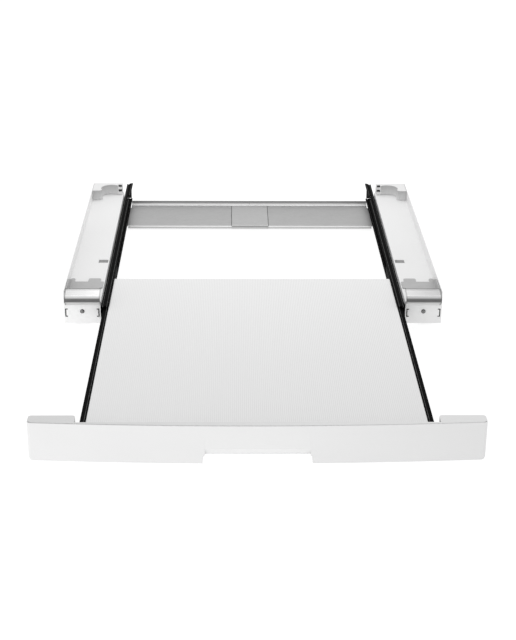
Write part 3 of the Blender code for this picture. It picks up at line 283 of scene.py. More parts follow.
# The same for how far a face turns to an axis; these pick the faces that take painted light and shade
FACING = (0.5, 0.9)
LEVEL = (0.9, 0.98)
UPRIGHT = (0.15, 0.35)
HEAD_FACING = (0.8, 0.97)

# Gloss
DULL_SPECULAR = 0.3
SLIDE_IOR = 1.07


def pairs(ring):
    """Each item of a closed ring with the next one."""
    return list(zip(ring, ring[1:] + ring[:1]))


def circle(radius, steps):
    """Places round a circle."""
    turns = [2 * pi * i / steps for i in range(steps)]
    return [(radius * cos(turn), radius * sin(turn)) for turn in turns]


def point(axis, along, across):
    """A point at this place along an axis, and at these places along the two other axes."""
    u, v = across
    return {"X": (along, u, v), "Y": (u, along, v), "Z": (u, v, along)}[axis]


def bridge(bm, low, high):
    """Joins two rings of corners with a band of faces."""
    for (a, b), (c, d) in zip(pairs(low), pairs(high)):
        bm.faces.new((a, b, d, c))


def close(bm, low, high):
    """Makes a solid between two rings of corners."""
    bm.faces.new(low)
    bm.faces.new(high)
    bridge(bm, low, high)


def level_ring(bm, radius, level, steps, middle=(0, 0)):
    """Adds a ring of corners that lie at one height."""
    return [bm.verts.new((middle[0] + x, middle[1] + y, level)) for x, y in circle(radius, steps)]


def prism(bm, axis, outline, start, end):
    """Adds a closed prism whose outline lies across the axis."""
    rings = [[bm.verts.new(point(axis, place, p)) for p in outline] for place in (start, end)]
    close(bm, *rings)
    return bm


def block(bm, low, high):
    """Adds a box between two corners."""
    outline = [(low[0], low[1]), (high[0], low[1]), (high[0], high[1]), (low[0], high[1])]
    return prism(bm, "Z", outline, low[2], high[2])


def bent(points, radius, steps=BEND_STEPS):
    """The same path with each corner turned on an arc."""
    path = [Vector(points[0])]
    for before, corner, after in zip(points, points[1:], points[2:]):
        corner = Vector(corner)
        back = (Vector(before) - corner).normalized()
        ahead = (Vector(after) - corner).normalized()
        half = back.angle(ahead) / 2
        middle = corner + (back + ahead).normalized() * radius / sin(half)
        start = corner + back * radius / tan(half) - middle
        end = corner + ahead * radius / tan(half) - middle
        for i in range(steps + 1):
            path.append(middle + start.lerp(end, i / steps).normalized() * radius)
    path.append(Vector(points[-1]))
    return path


def sheet(path, thickness):
    """The closed outline of a folded sheet: the path, and back along its left side."""
    path = [Vector(p) for p in path]
    runs = [(b - a).normalized() for a, b in zip(path, path[1:])]
    runs = [runs[0]] + runs + [runs[-1]]
    inside = []
    for place, before, after in zip(path, runs, runs[1:]):
        mean = (before + after).normalized()
        left = Vector((-mean.y, mean.x))
        inside.append(place + left * thickness / mean.dot(before))
    return [tuple(p) for p in path + inside[::-1]]


def add_object(name, data):
    """Adds an object with this data to the scene."""
    obj = bpy.data.objects.new(name, data)
    bpy.context.scene.collection.objects.link(obj)
    return obj


def as_object(name, bm):
    """Turns a bmesh into an object, with its faces pointing out."""
    bmesh.ops.recalc_face_normals(bm, faces=bm.faces)
    mesh = bpy.data.meshes.new(name)
    bm.to_mesh(mesh)
    bm.free()
    return add_object(name, mesh)


def settle(obj):
    """Applies an object's modifiers to its mesh."""
    graph = bpy.context.evaluated_depsgraph_get()
    mesh = bpy.data.meshes.new_from_object(obj.evaluated_get(graph))
    obj.modifiers.clear()
    obj.data = mesh


def cut(obj, bm, operation="DIFFERENCE"):
    """Cuts a shape out of an object, or joins it on."""
    other = as_object("tool", bm)
    modifier = obj.modifiers.new("cut", "BOOLEAN")
    modifier.operation = operation
    modifier.solver = "EXACT"
    modifier.object = other
    settle(obj)
    bpy.data.objects.remove(other)


def round_off(obj, width, steps=EDGE_STEPS):
    """Rounds an object's sharp edges."""
    modifier = obj.modifiers.new("round", "BEVEL")
    modifier.width = width
    modifier.segments = steps
    modifier.limit_method = "ANGLE"
    modifier.angle_limit = SHARP


def shade(obj):
    """Shades an object smooth, with its large faces kept flat."""
    obj.data.shade_smooth()
    weighted = obj.modifiers.new("normals", "WEIGHTED_NORMAL")
    weighted.keep_sharp = False
    weighted.weight = 100


def shade_by_angle(obj):
    """Shades an object smooth between its sharp edges."""
    obj.data.shade_smooth()
    obj.data.set_sharp_from_angle(angle=SHARP)


def weld(obj):
    """Joins the corners that an object's faces share."""
    bm = bmesh.new()
    bm.from_mesh(obj.data)
    bmesh.ops.remove_doubles(bm, verts=bm.verts, dist=HAIR)
    bm.to_mesh(obj.data)
    bm.free()


def dress(obj, body, slot, *nodes):
    """Gives a piece its finish and its body, and hides the nodes that it stands for."""
    obj.data.materials.clear()
    obj.data.materials.append(FINISHES[slot])
    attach(obj, body)
    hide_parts(*nodes)


def node_shape(name):
    """A node's solid with its shared corners joined and its flat faces whole."""
    bm = bmesh.new()
    bm.from_mesh(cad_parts[name].data)
    bmesh.ops.remove_doubles(bm, verts=bm.verts, dist=HAIR)
    bmesh.ops.dissolve_limit(bm, angle_limit=FLAT, verts=bm.verts, edges=bm.edges)
    return bm


def refine(name, body, slot, edge):
    """Makes the node's own shape with rounded edges."""
    obj = as_object(name + "_finished", node_shape(name))
    round_off(obj, edge)
    settle(obj)
    shade(obj)
    dress(obj, body, slot, name)
    return obj


def add_small(name, bm, slot, edge):
    piece = as_object(name, bm)
    round_off(piece, edge, SMALL_EDGE_STEPS)
    settle(piece)
    dress(piece, KIT, slot)


class Finish:
    """Builds the shader of one finish."""

    def __init__(self, name, colour, roughness, metallic=0.0):
        self.material = bpy.data.materials.new(name)
        self.material.use_nodes = True
        self.tree = self.material.node_tree
        self.shader = self.tree.nodes["Principled BSDF"]
        self.shader.inputs["Base Color"].default_value = (*colour, 1)
        self.shader.inputs["Roughness"].default_value = roughness
        self.shader.inputs["Metallic"].default_value = metallic
        self.place = self.tree.nodes.new("ShaderNodeTexCoord").outputs["Object"]

    def link(self, source, socket):
        self.tree.links.new(source, socket)

    def stretched(self, scale):
        """Places on the piece, scaled along X, Y and Z."""
        mapping = self.tree.nodes.new("ShaderNodeMapping")
        mapping.inputs["Scale"].default_value = scale
        self.link(self.place, mapping.inputs["Vector"])
        return mapping.outputs["Vector"]

    def noise(self, waves, detail=2.0):
        """Noise with this many waves in a metre, one number or one each along X, Y and Z."""
        scale = waves if isinstance(waves, tuple) else (waves, waves, waves)
        texture = self.tree.nodes.new("ShaderNodeTexNoise")
        texture.inputs["Scale"].default_value = 1.0
        texture.inputs["Detail"].default_value = detail
        self.link(self.stretched(scale), texture.inputs["Vector"])
        return texture.outputs["Fac"]

    def cells(self, scale):
        """Random grey cells, this many in a metre."""
        texture = self.tree.nodes.new("ShaderNodeTexVoronoi")
        texture.inputs["Scale"].default_value = scale
        self.link(self.place, texture.inputs["Vector"])
        split = self.tree.nodes.new("ShaderNodeSeparateColor")
        self.link(texture.outputs["Color"], split.inputs["Color"])
        return split.outputs["Red"]

    def stripes(self, pitch):
        texture = self.tree.nodes.new("ShaderNodeTexWave")
        texture.inputs["Scale"].default_value = pi / 10 / pitch
        self.link(self.place, texture.inputs["Vector"])
        return texture.outputs["Fac"]

    def along(self, axis, source="Object"):
        split = self.tree.nodes.new("ShaderNodeSeparateXYZ")
        self.link(self.place.node.outputs[source], split.inputs["Vector"])
        return split.outputs[axis]

    def reach(self, axis, source="Object"):
        """The same without its sign, so that left and right are alike."""
        size = self.tree.nodes.new("ShaderNodeMath")
        size.operation = "ABSOLUTE"
        self.link(self.along(axis, source), size.inputs[0])
        return size.outputs["Value"]

    def levels(self, source, low, high, start=NOISE_SPAN[0], end=NOISE_SPAN[1]):
        """Spreads a source between two values."""
        spread = self.tree.nodes.new("ShaderNodeMapRange")
        spread.inputs["From Min"].default_value = start
        spread.inputs["From Max"].default_value = end
        spread.inputs["To Min"].default_value = low
        spread.inputs["To Max"].default_value = high
        self.link(source, spread.inputs["Value"])
        return spread.outputs["Result"]

    def ramp(self, source, origin, ends, low=0, high=1):
        """Goes from one value to another between two places measured from an origin."""
        return self.levels(source, low, high, origin + ends[0], origin + ends[1])

    def mixed(self, factor, dark, light):
        """A colour between two colours or sources."""
        mix = self.tree.nodes.new("ShaderNodeMix")
        mix.data_type = "RGBA"
        sockets = [s for s in mix.inputs if s.type == "RGBA"]
        for socket, value in zip(sockets, (dark, light)):
            if isinstance(value, bpy.types.NodeSocket):
                self.link(value, socket)
            else:
                socket.default_value = (*value, 1)
        self.link(factor, mix.inputs["Factor"])
        return [s for s in mix.outputs if s.type == "RGBA"][0]

    def toned(self, factor, tones):
        """A grey between two tones."""
        return self.mixed(factor, grey(tones[0]), grey(tones[1]))

    def colour(self, source):
        self.link(source, self.shader.inputs["Base Color"])

    def roughness(self, source):
        self.link(source, self.shader.inputs["Roughness"])

    def relief(self, *layers):
        """Bump from (height source, depth in metres) layers."""
        normal = None
        for source, depth in layers:
            bump = self.tree.nodes.new("ShaderNodeBump")
            bump.inputs["Strength"].default_value = 1.0
            bump.inputs["Distance"].default_value = depth
            self.link(source, bump.inputs["Height"])
            if normal:
                self.link(normal, bump.inputs["Normal"])
            normal = bump.outputs["Normal"]
        self.link(normal, self.shader.inputs["Normal"])


def grey(tone, warmth=0.0):
    """A neutral colour, or a slightly warm one."""
    return (tone + warmth, tone, tone - warmth)


def powder_coat():
    """Satin white powder coat with orange peel and a fine speckle, with painted light on its front
    faces: lighter at the left, painted shade toward the right.
    """
    made = Finish("white_paint", grey(0.86), 0.42)
    speckle = made.noise(1600, 3)
    cloud = made.noise((9, 5, 9))
    tone = made.toned(made.levels(cloud, 0, 1), COAT_TONES)
    tone = made.mixed(made.levels(speckle, 0, 0.35, 0.5, 0.8), tone, grey(COAT_SPECKLE))
    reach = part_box("rail_right")[1].x
    # painted light: front faces lighter at the left, painted shade toward the right
    front = made.toned(made.levels(made.along("X"), 0, 1, -reach, reach), COAT_FRONT_PAINTED_LIGHT)
    front_faces_for_painted_light = made.levels(made.reach("Y", "Normal"), 0, 1, *FACING)
    made.colour(made.mixed(front_faces_for_painted_light, tone, front))
    made.roughness(made.levels(made.noise(220), 0.36, 0.5))
    made.relief((made.noise(650), 60 * MICRON), (speckle, 30 * MICRON))
    return made.material


def shelf_coat():
    """White coil coat of the shelf, drawn along its ribs, with painted shade toward its front edge and
    in the grooves between the ribs.
    """
    made = Finish("shelf_white", grey(0.87), 0.6)
    made.shader.inputs["Specular IOR Level"].default_value = DULL_SPECULAR
    drawn = made.noise((420, 3, 420), 3)
    cloud = made.noise((6, 3, 6))
    low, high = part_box("shelf_pan")
    # painted shade that darkens the shelf toward its front edge
    near = made.levels(made.along("Y"), 1, 0, low.y, high.y)
    tone = made.toned(made.levels(cloud, 0, 1), SHELF_TONES)
    tone = made.mixed(near, tone, grey(SHELF_FRONT_SHADE))
    # painted shade in the grooves between the ribs
    grooves = made.levels(made.stripes(RIB_PITCH), 0.35, 0)
    made.colour(made.mixed(grooves, tone, grey(SHELF_GROOVE_SHADE)))
    made.roughness(made.levels(drawn, 0.55, 0.68))
    made.relief((drawn, 12 * MICRON), (made.noise(1500), 10 * MICRON))
    return made.material


def panel_plastic():
    """Smooth white moulding with a fine spark-eroded grain, with painted shade toward its right end
    and painted light and shade on its top faces.
    """
    made = Finish("panel_plastic", grey(0.85), 0.5)
    made.shader.inputs["Specular IOR Level"].default_value = DULL_SPECULAR
    grain = made.noise(2100, 3)
    cloud = made.noise((5, 5, 14))
    tone = made.toned(made.levels(cloud, 0, 1), PANEL_TONES)
    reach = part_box("front_panel")[1].x
    # painted shade toward the right end
    tone = made.mixed(made.levels(made.along("X"), 0, 1, 0, reach), tone, grey(PANEL_RIGHT_SHADE))
    # painted light and shade on the top faces, darker at the left end
    top = made.toned(made.levels(made.along("X"), 0, 1, -reach, reach), PANEL_TOP_PAINTED_LIGHT)
    top_faces_for_painted_light = made.levels(made.along("Z", "Normal"), 0, 1, *FACING)
    made.colour(made.mixed(top_faces_for_painted_light, tone, top))
    made.roughness(made.levels(made.noise(90), 0.46, 0.56))
    made.relief((grain, 25 * MICRON), (made.noise(40, 1), 50 * MICRON))
    return made.material


def block_plastic():
    """Matte white moulding of the rear foot blocks."""
    made = Finish("foot_block_plastic", grey(0.86), 0.5)
    grain = made.noise(1300, 3)
    made.colour(made.toned(made.levels(made.noise(30), 0, 1), BLOCK_TONES))
    made.roughness(made.levels(grain, 0.44, 0.58))
    made.relief((grain, 50 * MICRON))
    return made.material


def bright_steel():
    """Bright rolled steel with fine grain along the strip, whose tones are painted reflection: a
    painted highlight on its nose, a painted dark reflection where the nose turns under, painted shadow
    along its back edge and painted shade at its ends, the right retainer painted darker than the left.
    """
    made = Finish("bright_steel", grey(0.7), 0.3, 1.0)
    grain = made.noise((18, 1500, 1500), 3)
    smear = made.noise((40, 160, 160))
    low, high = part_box("foot_retainer_right")
    middle = high.z - NOSE_DROP
    level = made.along("Z")
    # painted reflection, highlight, shadow and shade, placed by height, depth and side
    right = made.levels(made.along("X"), 0, 1, -low.x, low.x)
    back_edge_shadow = made.ramp(made.along("Y"), high.y, BACK_RAMP)
    flat = made.mixed(back_edge_shadow, made.toned(right, STEEL_FLAT_REFLECTION), grey(STEEL_BACK_EDGE_SHADOW))
    top = made.mixed(made.ramp(level, high.z, FLAT_RAMP), made.toned(right, STEEL_TOP_REFLECTION), flat)
    brow_highlight = made.toned(right, STEEL_BROW_HIGHLIGHT)
    tone = made.mixed(made.ramp(level, middle, BROW_RAMP), brow_highlight, top)
    tone = made.mixed(made.ramp(level, middle, NOSE_RAMP), grey(STEEL_NOSE_DARK_REFLECTION), tone)
    tone = made.mixed(made.ramp(level, middle, LIP_RAMP, 1, 0), tone, grey(STEEL_LIP_REFLECTION))
    # painted shade at both ends of the strip
    outer = made.ramp(made.reach("X"), high.x, OUTER_END_RAMP, 0, 0.6)
    inner = made.ramp(made.reach("X"), low.x, INNER_END_RAMP, 0.5, 0)
    tone = made.mixed(made.levels(smear, 0, 0.12), tone, grey(STEEL_SMEAR))
    tone = made.mixed(outer, tone, grey(STEEL_OUTER_END_SHADE))
    made.colour(made.mixed(inner, tone, grey(STEEL_INNER_END_SHADE)))
    made.roughness(made.levels(grain, 0.26, 0.4))
    made.relief((grain, 20 * MICRON))
    return made.material


def galvanised(name, web, bend_painted_light):
    """Dull zinc coat with a faint spangle and rolling marks, with painted light on its rounded bends
    (a painted highlight on the plates, painted shade on the joiner) and on its upright faces.
    """
    made = Finish(name, grey(web), 0.45, 1.0)
    spangle = made.levels(made.cells(210), 0, 1, 0, 1)
    rolled = made.noise((14, 900, 900), 3)
    cloud = made.noise((25, 40, 40), 3)
    tone = made.toned(spangle, [web * share for share in ZINC_SPANGLE_SHARES])
    tone = made.mixed(made.levels(cloud, 0, 0.5), tone, grey(web * ZINC_CLOUD_SHARE))
    lift = made.reach("Z", "Normal")
    # painted light on faces that turn from level: the rounded bends
    tone = made.mixed(made.levels(lift, 1, 0, *LEVEL), tone, grey(bend_painted_light))
    # painted light on upright faces
    upright = made.levels(lift, 1, 0, *UPRIGHT)
    made.colour(made.mixed(upright, tone, grey(web * ZINC_UPRIGHT_LIGHT_SHARE)))
    made.roughness(made.levels(rolled, 0.4, 0.52))
    made.relief((rolled, 20 * MICRON), (made.noise(500), 30 * MICRON))
    return made.material


def black_coat():
    """Thin semi-gloss black coat on cold-rolled slides, rubbed along their travel, with painted
    highlight lines along their edges.
    """
    made = Finish("black_slide", grey(0.012), 0.4)
    made.shader.inputs["IOR"].default_value = SLIDE_IOR
    rubbed = made.noise((900, 8, 900), 3)
    dust = made.noise(300, 3)
    tone = made.toned(made.levels(rubbed, 0, 1, 0.45, 0.75), BLACK_TONES)
    tone = made.mixed(made.levels(dust, 0, 0.4, 0.6, 0.8), tone, grey(BLACK_DUST))
    inner_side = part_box("slide_outer_right")[0].x
    place = made.reach("X")
    # painted highlight lines along the slides' edges
    for line in SLIDE_HIGHLIGHT_LINES:
        rise = made.ramp(place, inner_side + line, (-SLIDE_HIGHLIGHT_WIDTH, 0))
        fall = made.ramp(place, inner_side + line, (0, SLIDE_HIGHLIGHT_WIDTH), 1, 0)
        edge_highlight = made.toned(made.levels(dust, 0, 1, 0.4, 0.6), BLACK_EDGE_HIGHLIGHT)
        tone = made.mixed(rise, tone, made.mixed(fall, tone, edge_highlight))
    made.colour(tone)
    made.roughness(made.levels(rubbed, 0.5, 0.7))
    made.relief((rubbed, 20 * MICRON))
    return made.material


def cage_metal():
    """Zinc-plated cage and balls with a film of grease."""
    made = Finish("cage_steel", grey(0.6), 0.3, 1.0)
    film = made.noise((130, 60, 130), 3)
    dark, light = CAGE_TONES
    made.colour(made.mixed(made.levels(film, 0, 1), grey(dark, CAGE_WARMTH), grey(light)))
    made.roughness(made.levels(film, 0.2, 0.45))
    made.relief((made.noise(1100), 20 * MICRON))
    return made.material


def screw_zinc(name, flat, side):
    """Zinc of the screws, with one tone on level faces and one on the others; on the front screws both
    tones are painted shade, near black on the recess walls and sides.
    """
    made = Finish(name, grey(flat), 0.32, 1.0)
    film = made.noise(900, 3)
    tone = made.toned(made.levels(film, 0, 1), [flat * share for share in SCREW_SHARES])
    level = made.levels(made.reach("Z", "Normal"), 0, 1, *HEAD_FACING)
    made.colour(made.mixed(level, grey(side), tone))
    made.roughness(made.levels(film, 0.25, 0.42))
    made.relief((film, 20 * MICRON))
    return made.material


def mat_grey():
    """Matte grey of the foot mats and pocket liners, the liners paler toward their foot."""
    made = Finish("grey_mat", grey(0.48), 0.7)
    grain = made.noise(1400, 3)
    cloud = made.noise(60, 3)
    tone = made.toned(made.levels(cloud, 0, 1), MAT_TONES)
    tone = made.mixed(made.levels(grain, 0, 0.4, 0.5, 0.8), tone, grey(MAT_GRAIN))
    low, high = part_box("pocket_liner_right")
    foot = made.levels(made.along("Z"), 0.8, 0, low.z, high.z)
    liner = made.mixed(foot, tone, grey(LINER_PALE))
    made.colour(made.mixed(made.ramp(made.along("Y"), low.y, LINER_RAMP), tone, liner))
    made.roughness(made.levels(grain, 0.62, 0.8))
    made.relief((grain, 80 * MICRON))
    return made.material


def stop_plastic():
    """Grey moulded plastic of the cage stops, and of the plates under the trays' holes that paint the
    shade seen through them.
    """
    made = Finish("grey_plastic", grey(0.28), 0.55)
    grain = made.noise(1200)
    made.colour(made.toned(made.levels(made.noise(150), 0, 1), PLASTIC_TONES))
    made.roughness(made.levels(grain, 0.5, 0.65))
    made.relief((grain, 40 * MICRON))
    return made.material


def rubber():
    """Matte black rubber with a dusty bloom; also the finish of the dark pieces that paint shade in
    the slots and beside the joiner plate.
    """
    made = Finish("black_rubber", grey(0.03), 0.8)
    bloom = made.noise(220, 3)
    made.colour(made.toned(made.levels(bloom, 0, 1), RUBBER_TONES))
    made.roughness(made.levels(bloom, 0.7, 0.9))
    made.relief((made.noise(1800, 3), 60 * MICRON))
    return made.material


JOINER_FINISH = galvanised("galvanised_joiner", *JOINER_ZINC)
FRONT_SCREW_SHADED_FINISH = screw_zinc("zinc_screw_front_shaded", *FRONT_SCREW_SHADED_ZINC)
FINISHES = {
    "white_paint": powder_coat(),
    "shelf_white": shelf_coat(),
    "panel_plastic": panel_plastic(),
    "foot_block_plastic": block_plastic(),
    "bright_steel": bright_steel(),
    "galvanised": galvanised("galvanised", *PLATE_ZINC),
    "black_slide": black_coat(),
    "cage_steel": cage_metal(),
    "zinc_screw": screw_zinc("zinc_screw", *SCREW_ZINC),
    "grey_mat": mat_grey(),
    "grey_plastic": stop_plastic(),
    "black_rubber": rubber(),
}


def refine_plain_nodes():
    """Rounds the edges of every node whose own form is fine enough."""
    for label, _ in SIDES:
        for start, body, slot, edge in PLAIN_PIECES:
            refine(start + label, body, slot, edge)
    joiner = refine("joiner_plate", KIT, "galvanised", SHEET_EDGE)
    joiner.data.materials[0] = JOINER_FINISH
    for place in ("front", "rear"):
        refine("shelf_stiffener_" + place, DRAWER, "galvanised", SHEET_EDGE)


def ribbed_run(start, end, level):
    """Fine ribs from one place to another, as rounded crests with narrow grooves between."""
    count = round((end - start) / RIB_PITCH)
    pitch = (end - start) / count
    run = []
    for i in range(count):
        for along, depth in RIB_SHARES:
            run.append(Vector((start + (i + along) * pitch, level - depth * RIB_DEPTH)))
    run.append(Vector((end, level - RIB_DEPTH)))
    return run


def add_shelf():
    """Folded sheet shelf with fine ribs from front to back."""
    low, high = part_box("shelf_pan")
    corners = [(low.x + SHELF_LIP, low.z), (low.x, low.z), (low.x, high.z), (0, high.z)]
    left = bent(corners, SHELF_FOLD)
    right = [Vector((-p.x, p.y)) for p in left[::-1]]
    reach = -left[-2].x
    outer = left[:-1] + ribbed_run(-reach, reach, high.z) + right[1:]
    inner_path = sheet(left[:-1] + right[1:], -SHELF_SHEET)
    inner = [Vector(p) for p in inner_path[len(inner_path) // 2:]]
    bm = bmesh.new()
    prism(bm, "Y", outer + inner, low.y + SHELF_FOLD, high.y - SHELF_FOLD)
    width = high.x - SHELF_SHEET
    for edge, way in ((low.y, 1), (high.y, -1)):
        path = [(edge + way * SHELF_FOLD, high.z), (edge, high.z), (edge, low.z)]
        fold = bent(path, SHELF_FOLD)
        prism(bm, "X", sheet(fold[1:], SHELF_SHEET * way), -width, width)
    shelf = as_object("shelf_sheet", bm)
    shade_by_angle(shelf)
    dress(shelf, DRAWER, "shelf_white", "shelf_pan")


def add_retainers():
    """Bright strips with a smooth bull nose across the front of the trays."""
    for label, _ in SIDES:
        low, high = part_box("foot_retainer_" + label)
        middle = Vector((low.y + NOSE_RADIUS, high.z - NOSE_DROP))
        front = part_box("front_plate_" + label)[0].y
        lip = front - GAP - RETAINER_SHEET
        path = [(high.y, high.z), (front + RETAINER_CREASE, high.z)]
        for i in range(NOSE_STEPS + 1):
            angle = NOSE_START + (NOSE_END - NOSE_START) * i / NOSE_STEPS
            path.append(middle + Vector((cos(angle), sin(angle))) * NOSE_RADIUS)
        path += [(lip, middle.y - NOSE_RADIUS), (lip, low.z)]
        bm = prism(bmesh.new(), "X", sheet(path, RETAINER_SHEET), low.x, high.x)
        strip = as_object("retainer_strip_" + label, bm)
        round_off(strip, SMALL_EDGE, SMALL_EDGE_STEPS)
        settle(strip)
        shade(strip)
        dress(strip, KIT, "bright_steel", "foot_retainer_" + label)


def panel_bow(x, width):
    """How far the panel's front falls back from its middle."""
    return PANEL_BOW * (2 * x / width) ** 2


def panel_front(low, high, inset):
    """The panel's front and rounded ends seen from above, shrunk by a wall, and its half width."""
    width = high.x - low.x
    half = high.x - inset
    radius = PANEL_END_RADIUS - inset
    front = []
    for i in range(PANEL_BOW_STEPS + 1):
        x = (2 * i / PANEL_BOW_STEPS - 1) * (half - radius)
        front.append((x, low.y + inset + panel_bow(x, width)))
    arcs = []
    for end, x in ((front[0], -half), (front[-1], half)):
        arcs.append([tuple(p) for p in bent([end, (x, end[1]), (x, high.y)], radius)[1:-1]])
    return arcs[0][::-1] + front[1:-1] + arcs[1], half


def foot_corner(x, low, high, way):
    """What is cut away to round one of the panel's lower outer corners."""
    radius = PANEL_FOOT_RADIUS
    path = bent([(x, low.z + 2 * radius), (x, low.z), (x - way * 2 * radius, low.z)], radius)
    arc = [tuple(p) for p in path[1:-1]]
    outline = arc + [(x - way * radius, low.z - PAST), (x + way * PAST, low.z - PAST),
                     (x + way * PAST, low.z + radius)]
    return prism(bmesh.new(), "Y", outline, low.y - PAST, high.y + PAST)


def panel_hollow(low, high, back, ear_in):
    """The space inside the panel's wall, which leaves room above the finger gap."""
    front, half = panel_front(low, high, PANEL_WALL)
    inner = ear_in + PANEL_WALL
    outline = front + [(half, high.y + PAST), (inner, high.y + PAST), (inner, back + PAST),
                       (-inner, back + PAST), (-inner, high.y + PAST), (-half, high.y + PAST)]
    hollow = as_object("hollow", prism(bmesh.new(), "Z", outline, low.z + PANEL_WALL,
                                       high.z - PANEL_WALL))
    reach = HANDLE_WIDTH / 2 + PANEL_WALL
    roof = low.z + HANDLE_HEIGHT + SCOOP_HEIGHT + PANEL_WALL
    cut(hollow, block(bmesh.new(), (-reach, low.y - PAST, low.z - PAST),
                      (reach, back + 2 * PAST, roof)))
    bm = bmesh.new()
    bm.from_mesh(hollow.data)
    bpy.data.objects.remove(hollow)
    return bm


def panel_shell(low, high, back):
    """The hollow panel with deeper ends."""
    ear_in = high.x - PANEL_EAR_WIDTH
    front, half = panel_front(low, high, 0)
    ear = bent([front[-1], (half, high.y), (ear_in, high.y), (ear_in, back)], PANEL_EAR_RADIUS)
    ear = [tuple(p) for p in ear[1:]]
    outline = front + ear + [(-x, y) for x, y in ear[::-1]]
    panel = as_object("panel_shell", prism(bmesh.new(), "Z", outline, low.z, high.z))
    for way in (-1, 1):
        cut(panel, foot_corner(way * high.x, low, high, way))
    round_off(panel, PANEL_EDGE, PANEL_EDGE_STEPS)
    settle(panel)
    cut(panel, panel_hollow(low, high, back, ear_in))
    return panel


def add_bosses(panel, low, high, back):
    """Adds the rods inside the panel that take its screws."""
    for i in range(PANEL_SCREWS):
        screw_low, screw_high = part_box("panel_screw_{}".format(i + 1))
        middle = (screw_low + screw_high) / 2
        root = low.y + PANEL_WALL / 2 + panel_bow(middle.x, high.x - low.x)
        ring = [(middle.x + x, middle.z + z) for x, z in circle(BOSS_RADIUS, BOSS_STEPS)]
        cut(panel, prism(bmesh.new(), "Y", ring, root, back), "UNION")


def scoop_outline(low, top):
    """The ridged slope above the finger gap, seen from the side."""
    slope = SCOOP_HEIGHT / SCOOP_DEPTH
    face = [(low.y - PAST, top + SCOOP_HEIGHT + slope * PAST)]
    for i in range(SCOOP_RIDGES + 1):
        share = i / SCOOP_RIDGES
        y = low.y + SCOOP_DEPTH * share
        z = top + SCOOP_HEIGHT * (1 - share)
        if 0 < i < SCOOP_RIDGES:
            face += [(y, z + SCOOP_RIDGE), (y + SCOOP_RIDGE, z)]
        else:
            face.append((y, z))
    return face + [(low.y + SCOOP_DEPTH, top - PAST), (low.y - PAST, top - PAST)]


def cut_handle(panel, low, back):
    """Cuts the finger gap out of the panel's lower edge, and the scoop above it."""
    half = HANDLE_WIDTH / 2
    top = low.z + HANDLE_HEIGHT
    path = [(-half, low.z - PAST), (-half, top), (half, top), (half, low.z - PAST)]
    outline = [tuple(p) for p in bent(path, HANDLE_CORNER, HANDLE_STEPS)]
    cut(panel, prism(bmesh.new(), "Y", outline, low.y - PAST, back + 2 * PAST))
    reach = half - SCOOP_END_MARGIN
    cut(panel, prism(bmesh.new(), "X", scoop_outline(low, top), -reach, reach))


def edge_groove(low, high):
    """A fine groove along the panel's top, which follows its front edge."""
    outer = panel_front(low, high, GROOVE_INSET)[0]
    inner = panel_front(low, high, GROOVE_INSET + GROOVE_WIDTH)[0]
    return prism(bmesh.new(), "Z", outer + inner[::-1], high.z - GROOVE_SINK, high.z + PAST)


def add_panel():
    """Front panel with its screw bosses, finger gap, ridged scoop and groove."""
    low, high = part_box("front_panel")
    back = low.y + PANEL_DEPTH
    panel = panel_shell(low, high, back)
    add_bosses(panel, low, high, back)
    cut_handle(panel, low, back)
    cut(panel, edge_groove(low, high))
    weld(panel)
    shade(panel)
    dress(panel, DRAWER, "panel_plastic", "front_panel")


def add_ball(bm, place):
    """A bearing ball."""
    made = bmesh.ops.create_uvsphere(bm, u_segments=BALL_STEPS, v_segments=BALL_STEPS // 2 + 1,
                                     radius=BALL_RADIUS)
    bmesh.ops.translate(bm, vec=place, verts=made["verts"])


def add_eyelet(bm, place):
    """A flat ring round a ball, with its axis up."""
    rings = []
    for radius, rise in ((BALL_RADIUS, -1), (EYELET_RADIUS, -1), (EYELET_RADIUS, 1), (BALL_RADIUS, 1)):
        level = place[2] + rise * CAGE_SHEET / 2
        rings.append(level_ring(bm, radius, level, EYELET_STEPS, place))
    for low, high in pairs(rings):
        bridge(bm, low, high)


def add_cage_rows(bm, low, high, side):
    """A cage's two level strips with their balls, and an eyelet round each ball."""
    web_out, edge = (high.x, low.x) if side > 0 else (low.x, high.x)
    row = edge + side * BALL_RADIUS
    reach = sorted((row + side * BALL_RADIUS, web_out))
    pitch = (high.y - low.y) / BALLS_IN_A_ROW
    for level in (low.z + BALL_RADIUS, high.z - BALL_RADIUS):
        block(bm, (reach[0], low.y, level - CAGE_SHEET / 2),
              (reach[1], high.y, level + CAGE_SHEET / 2))
        for i in range(BALLS_IN_A_ROW):
            place = (row, low.y + pitch * (i + 0.5), level)
            add_ball(bm, place)
            add_eyelet(bm, place)


def add_cage_web(bm, low, high, side):
    """A cage's upright web: a band beside each row, and bars from one band to the other."""
    foot, top = low.z + BALL_RADIUS, high.z - BALL_RADIUS
    web_out = high.x if side > 0 else low.x
    web = sorted((web_out, web_out - side * CAGE_SHEET))
    band = (top - foot) / CAGE_BANDS
    for bottom in (foot, top - band):
        block(bm, (web[0], low.y, bottom), (web[1], high.y, bottom + band))
    bars = BALLS_IN_A_ROW // 2 + 1
    for i in range(bars):
        start = low.y + (high.y - low.y - CAGE_BAR) * i / (bars - 1)
        block(bm, (web[0], start, foot + band), (web[1], start + CAGE_BAR, top - band))


def add_ball_cages():
    """Punched cages with two rows of balls."""
    for label, side in SIDES:
        low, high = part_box("ball_cage_" + label)
        bm = bmesh.new()
        add_cage_rows(bm, low, high, side)
        add_cage_web(bm, low, high, side)
        cage = as_object("cage_with_balls_" + label, bm)
        shade_by_angle(cage)
        dress(cage, "cage_" + label, "cage_steel", "ball_cage_" + label)


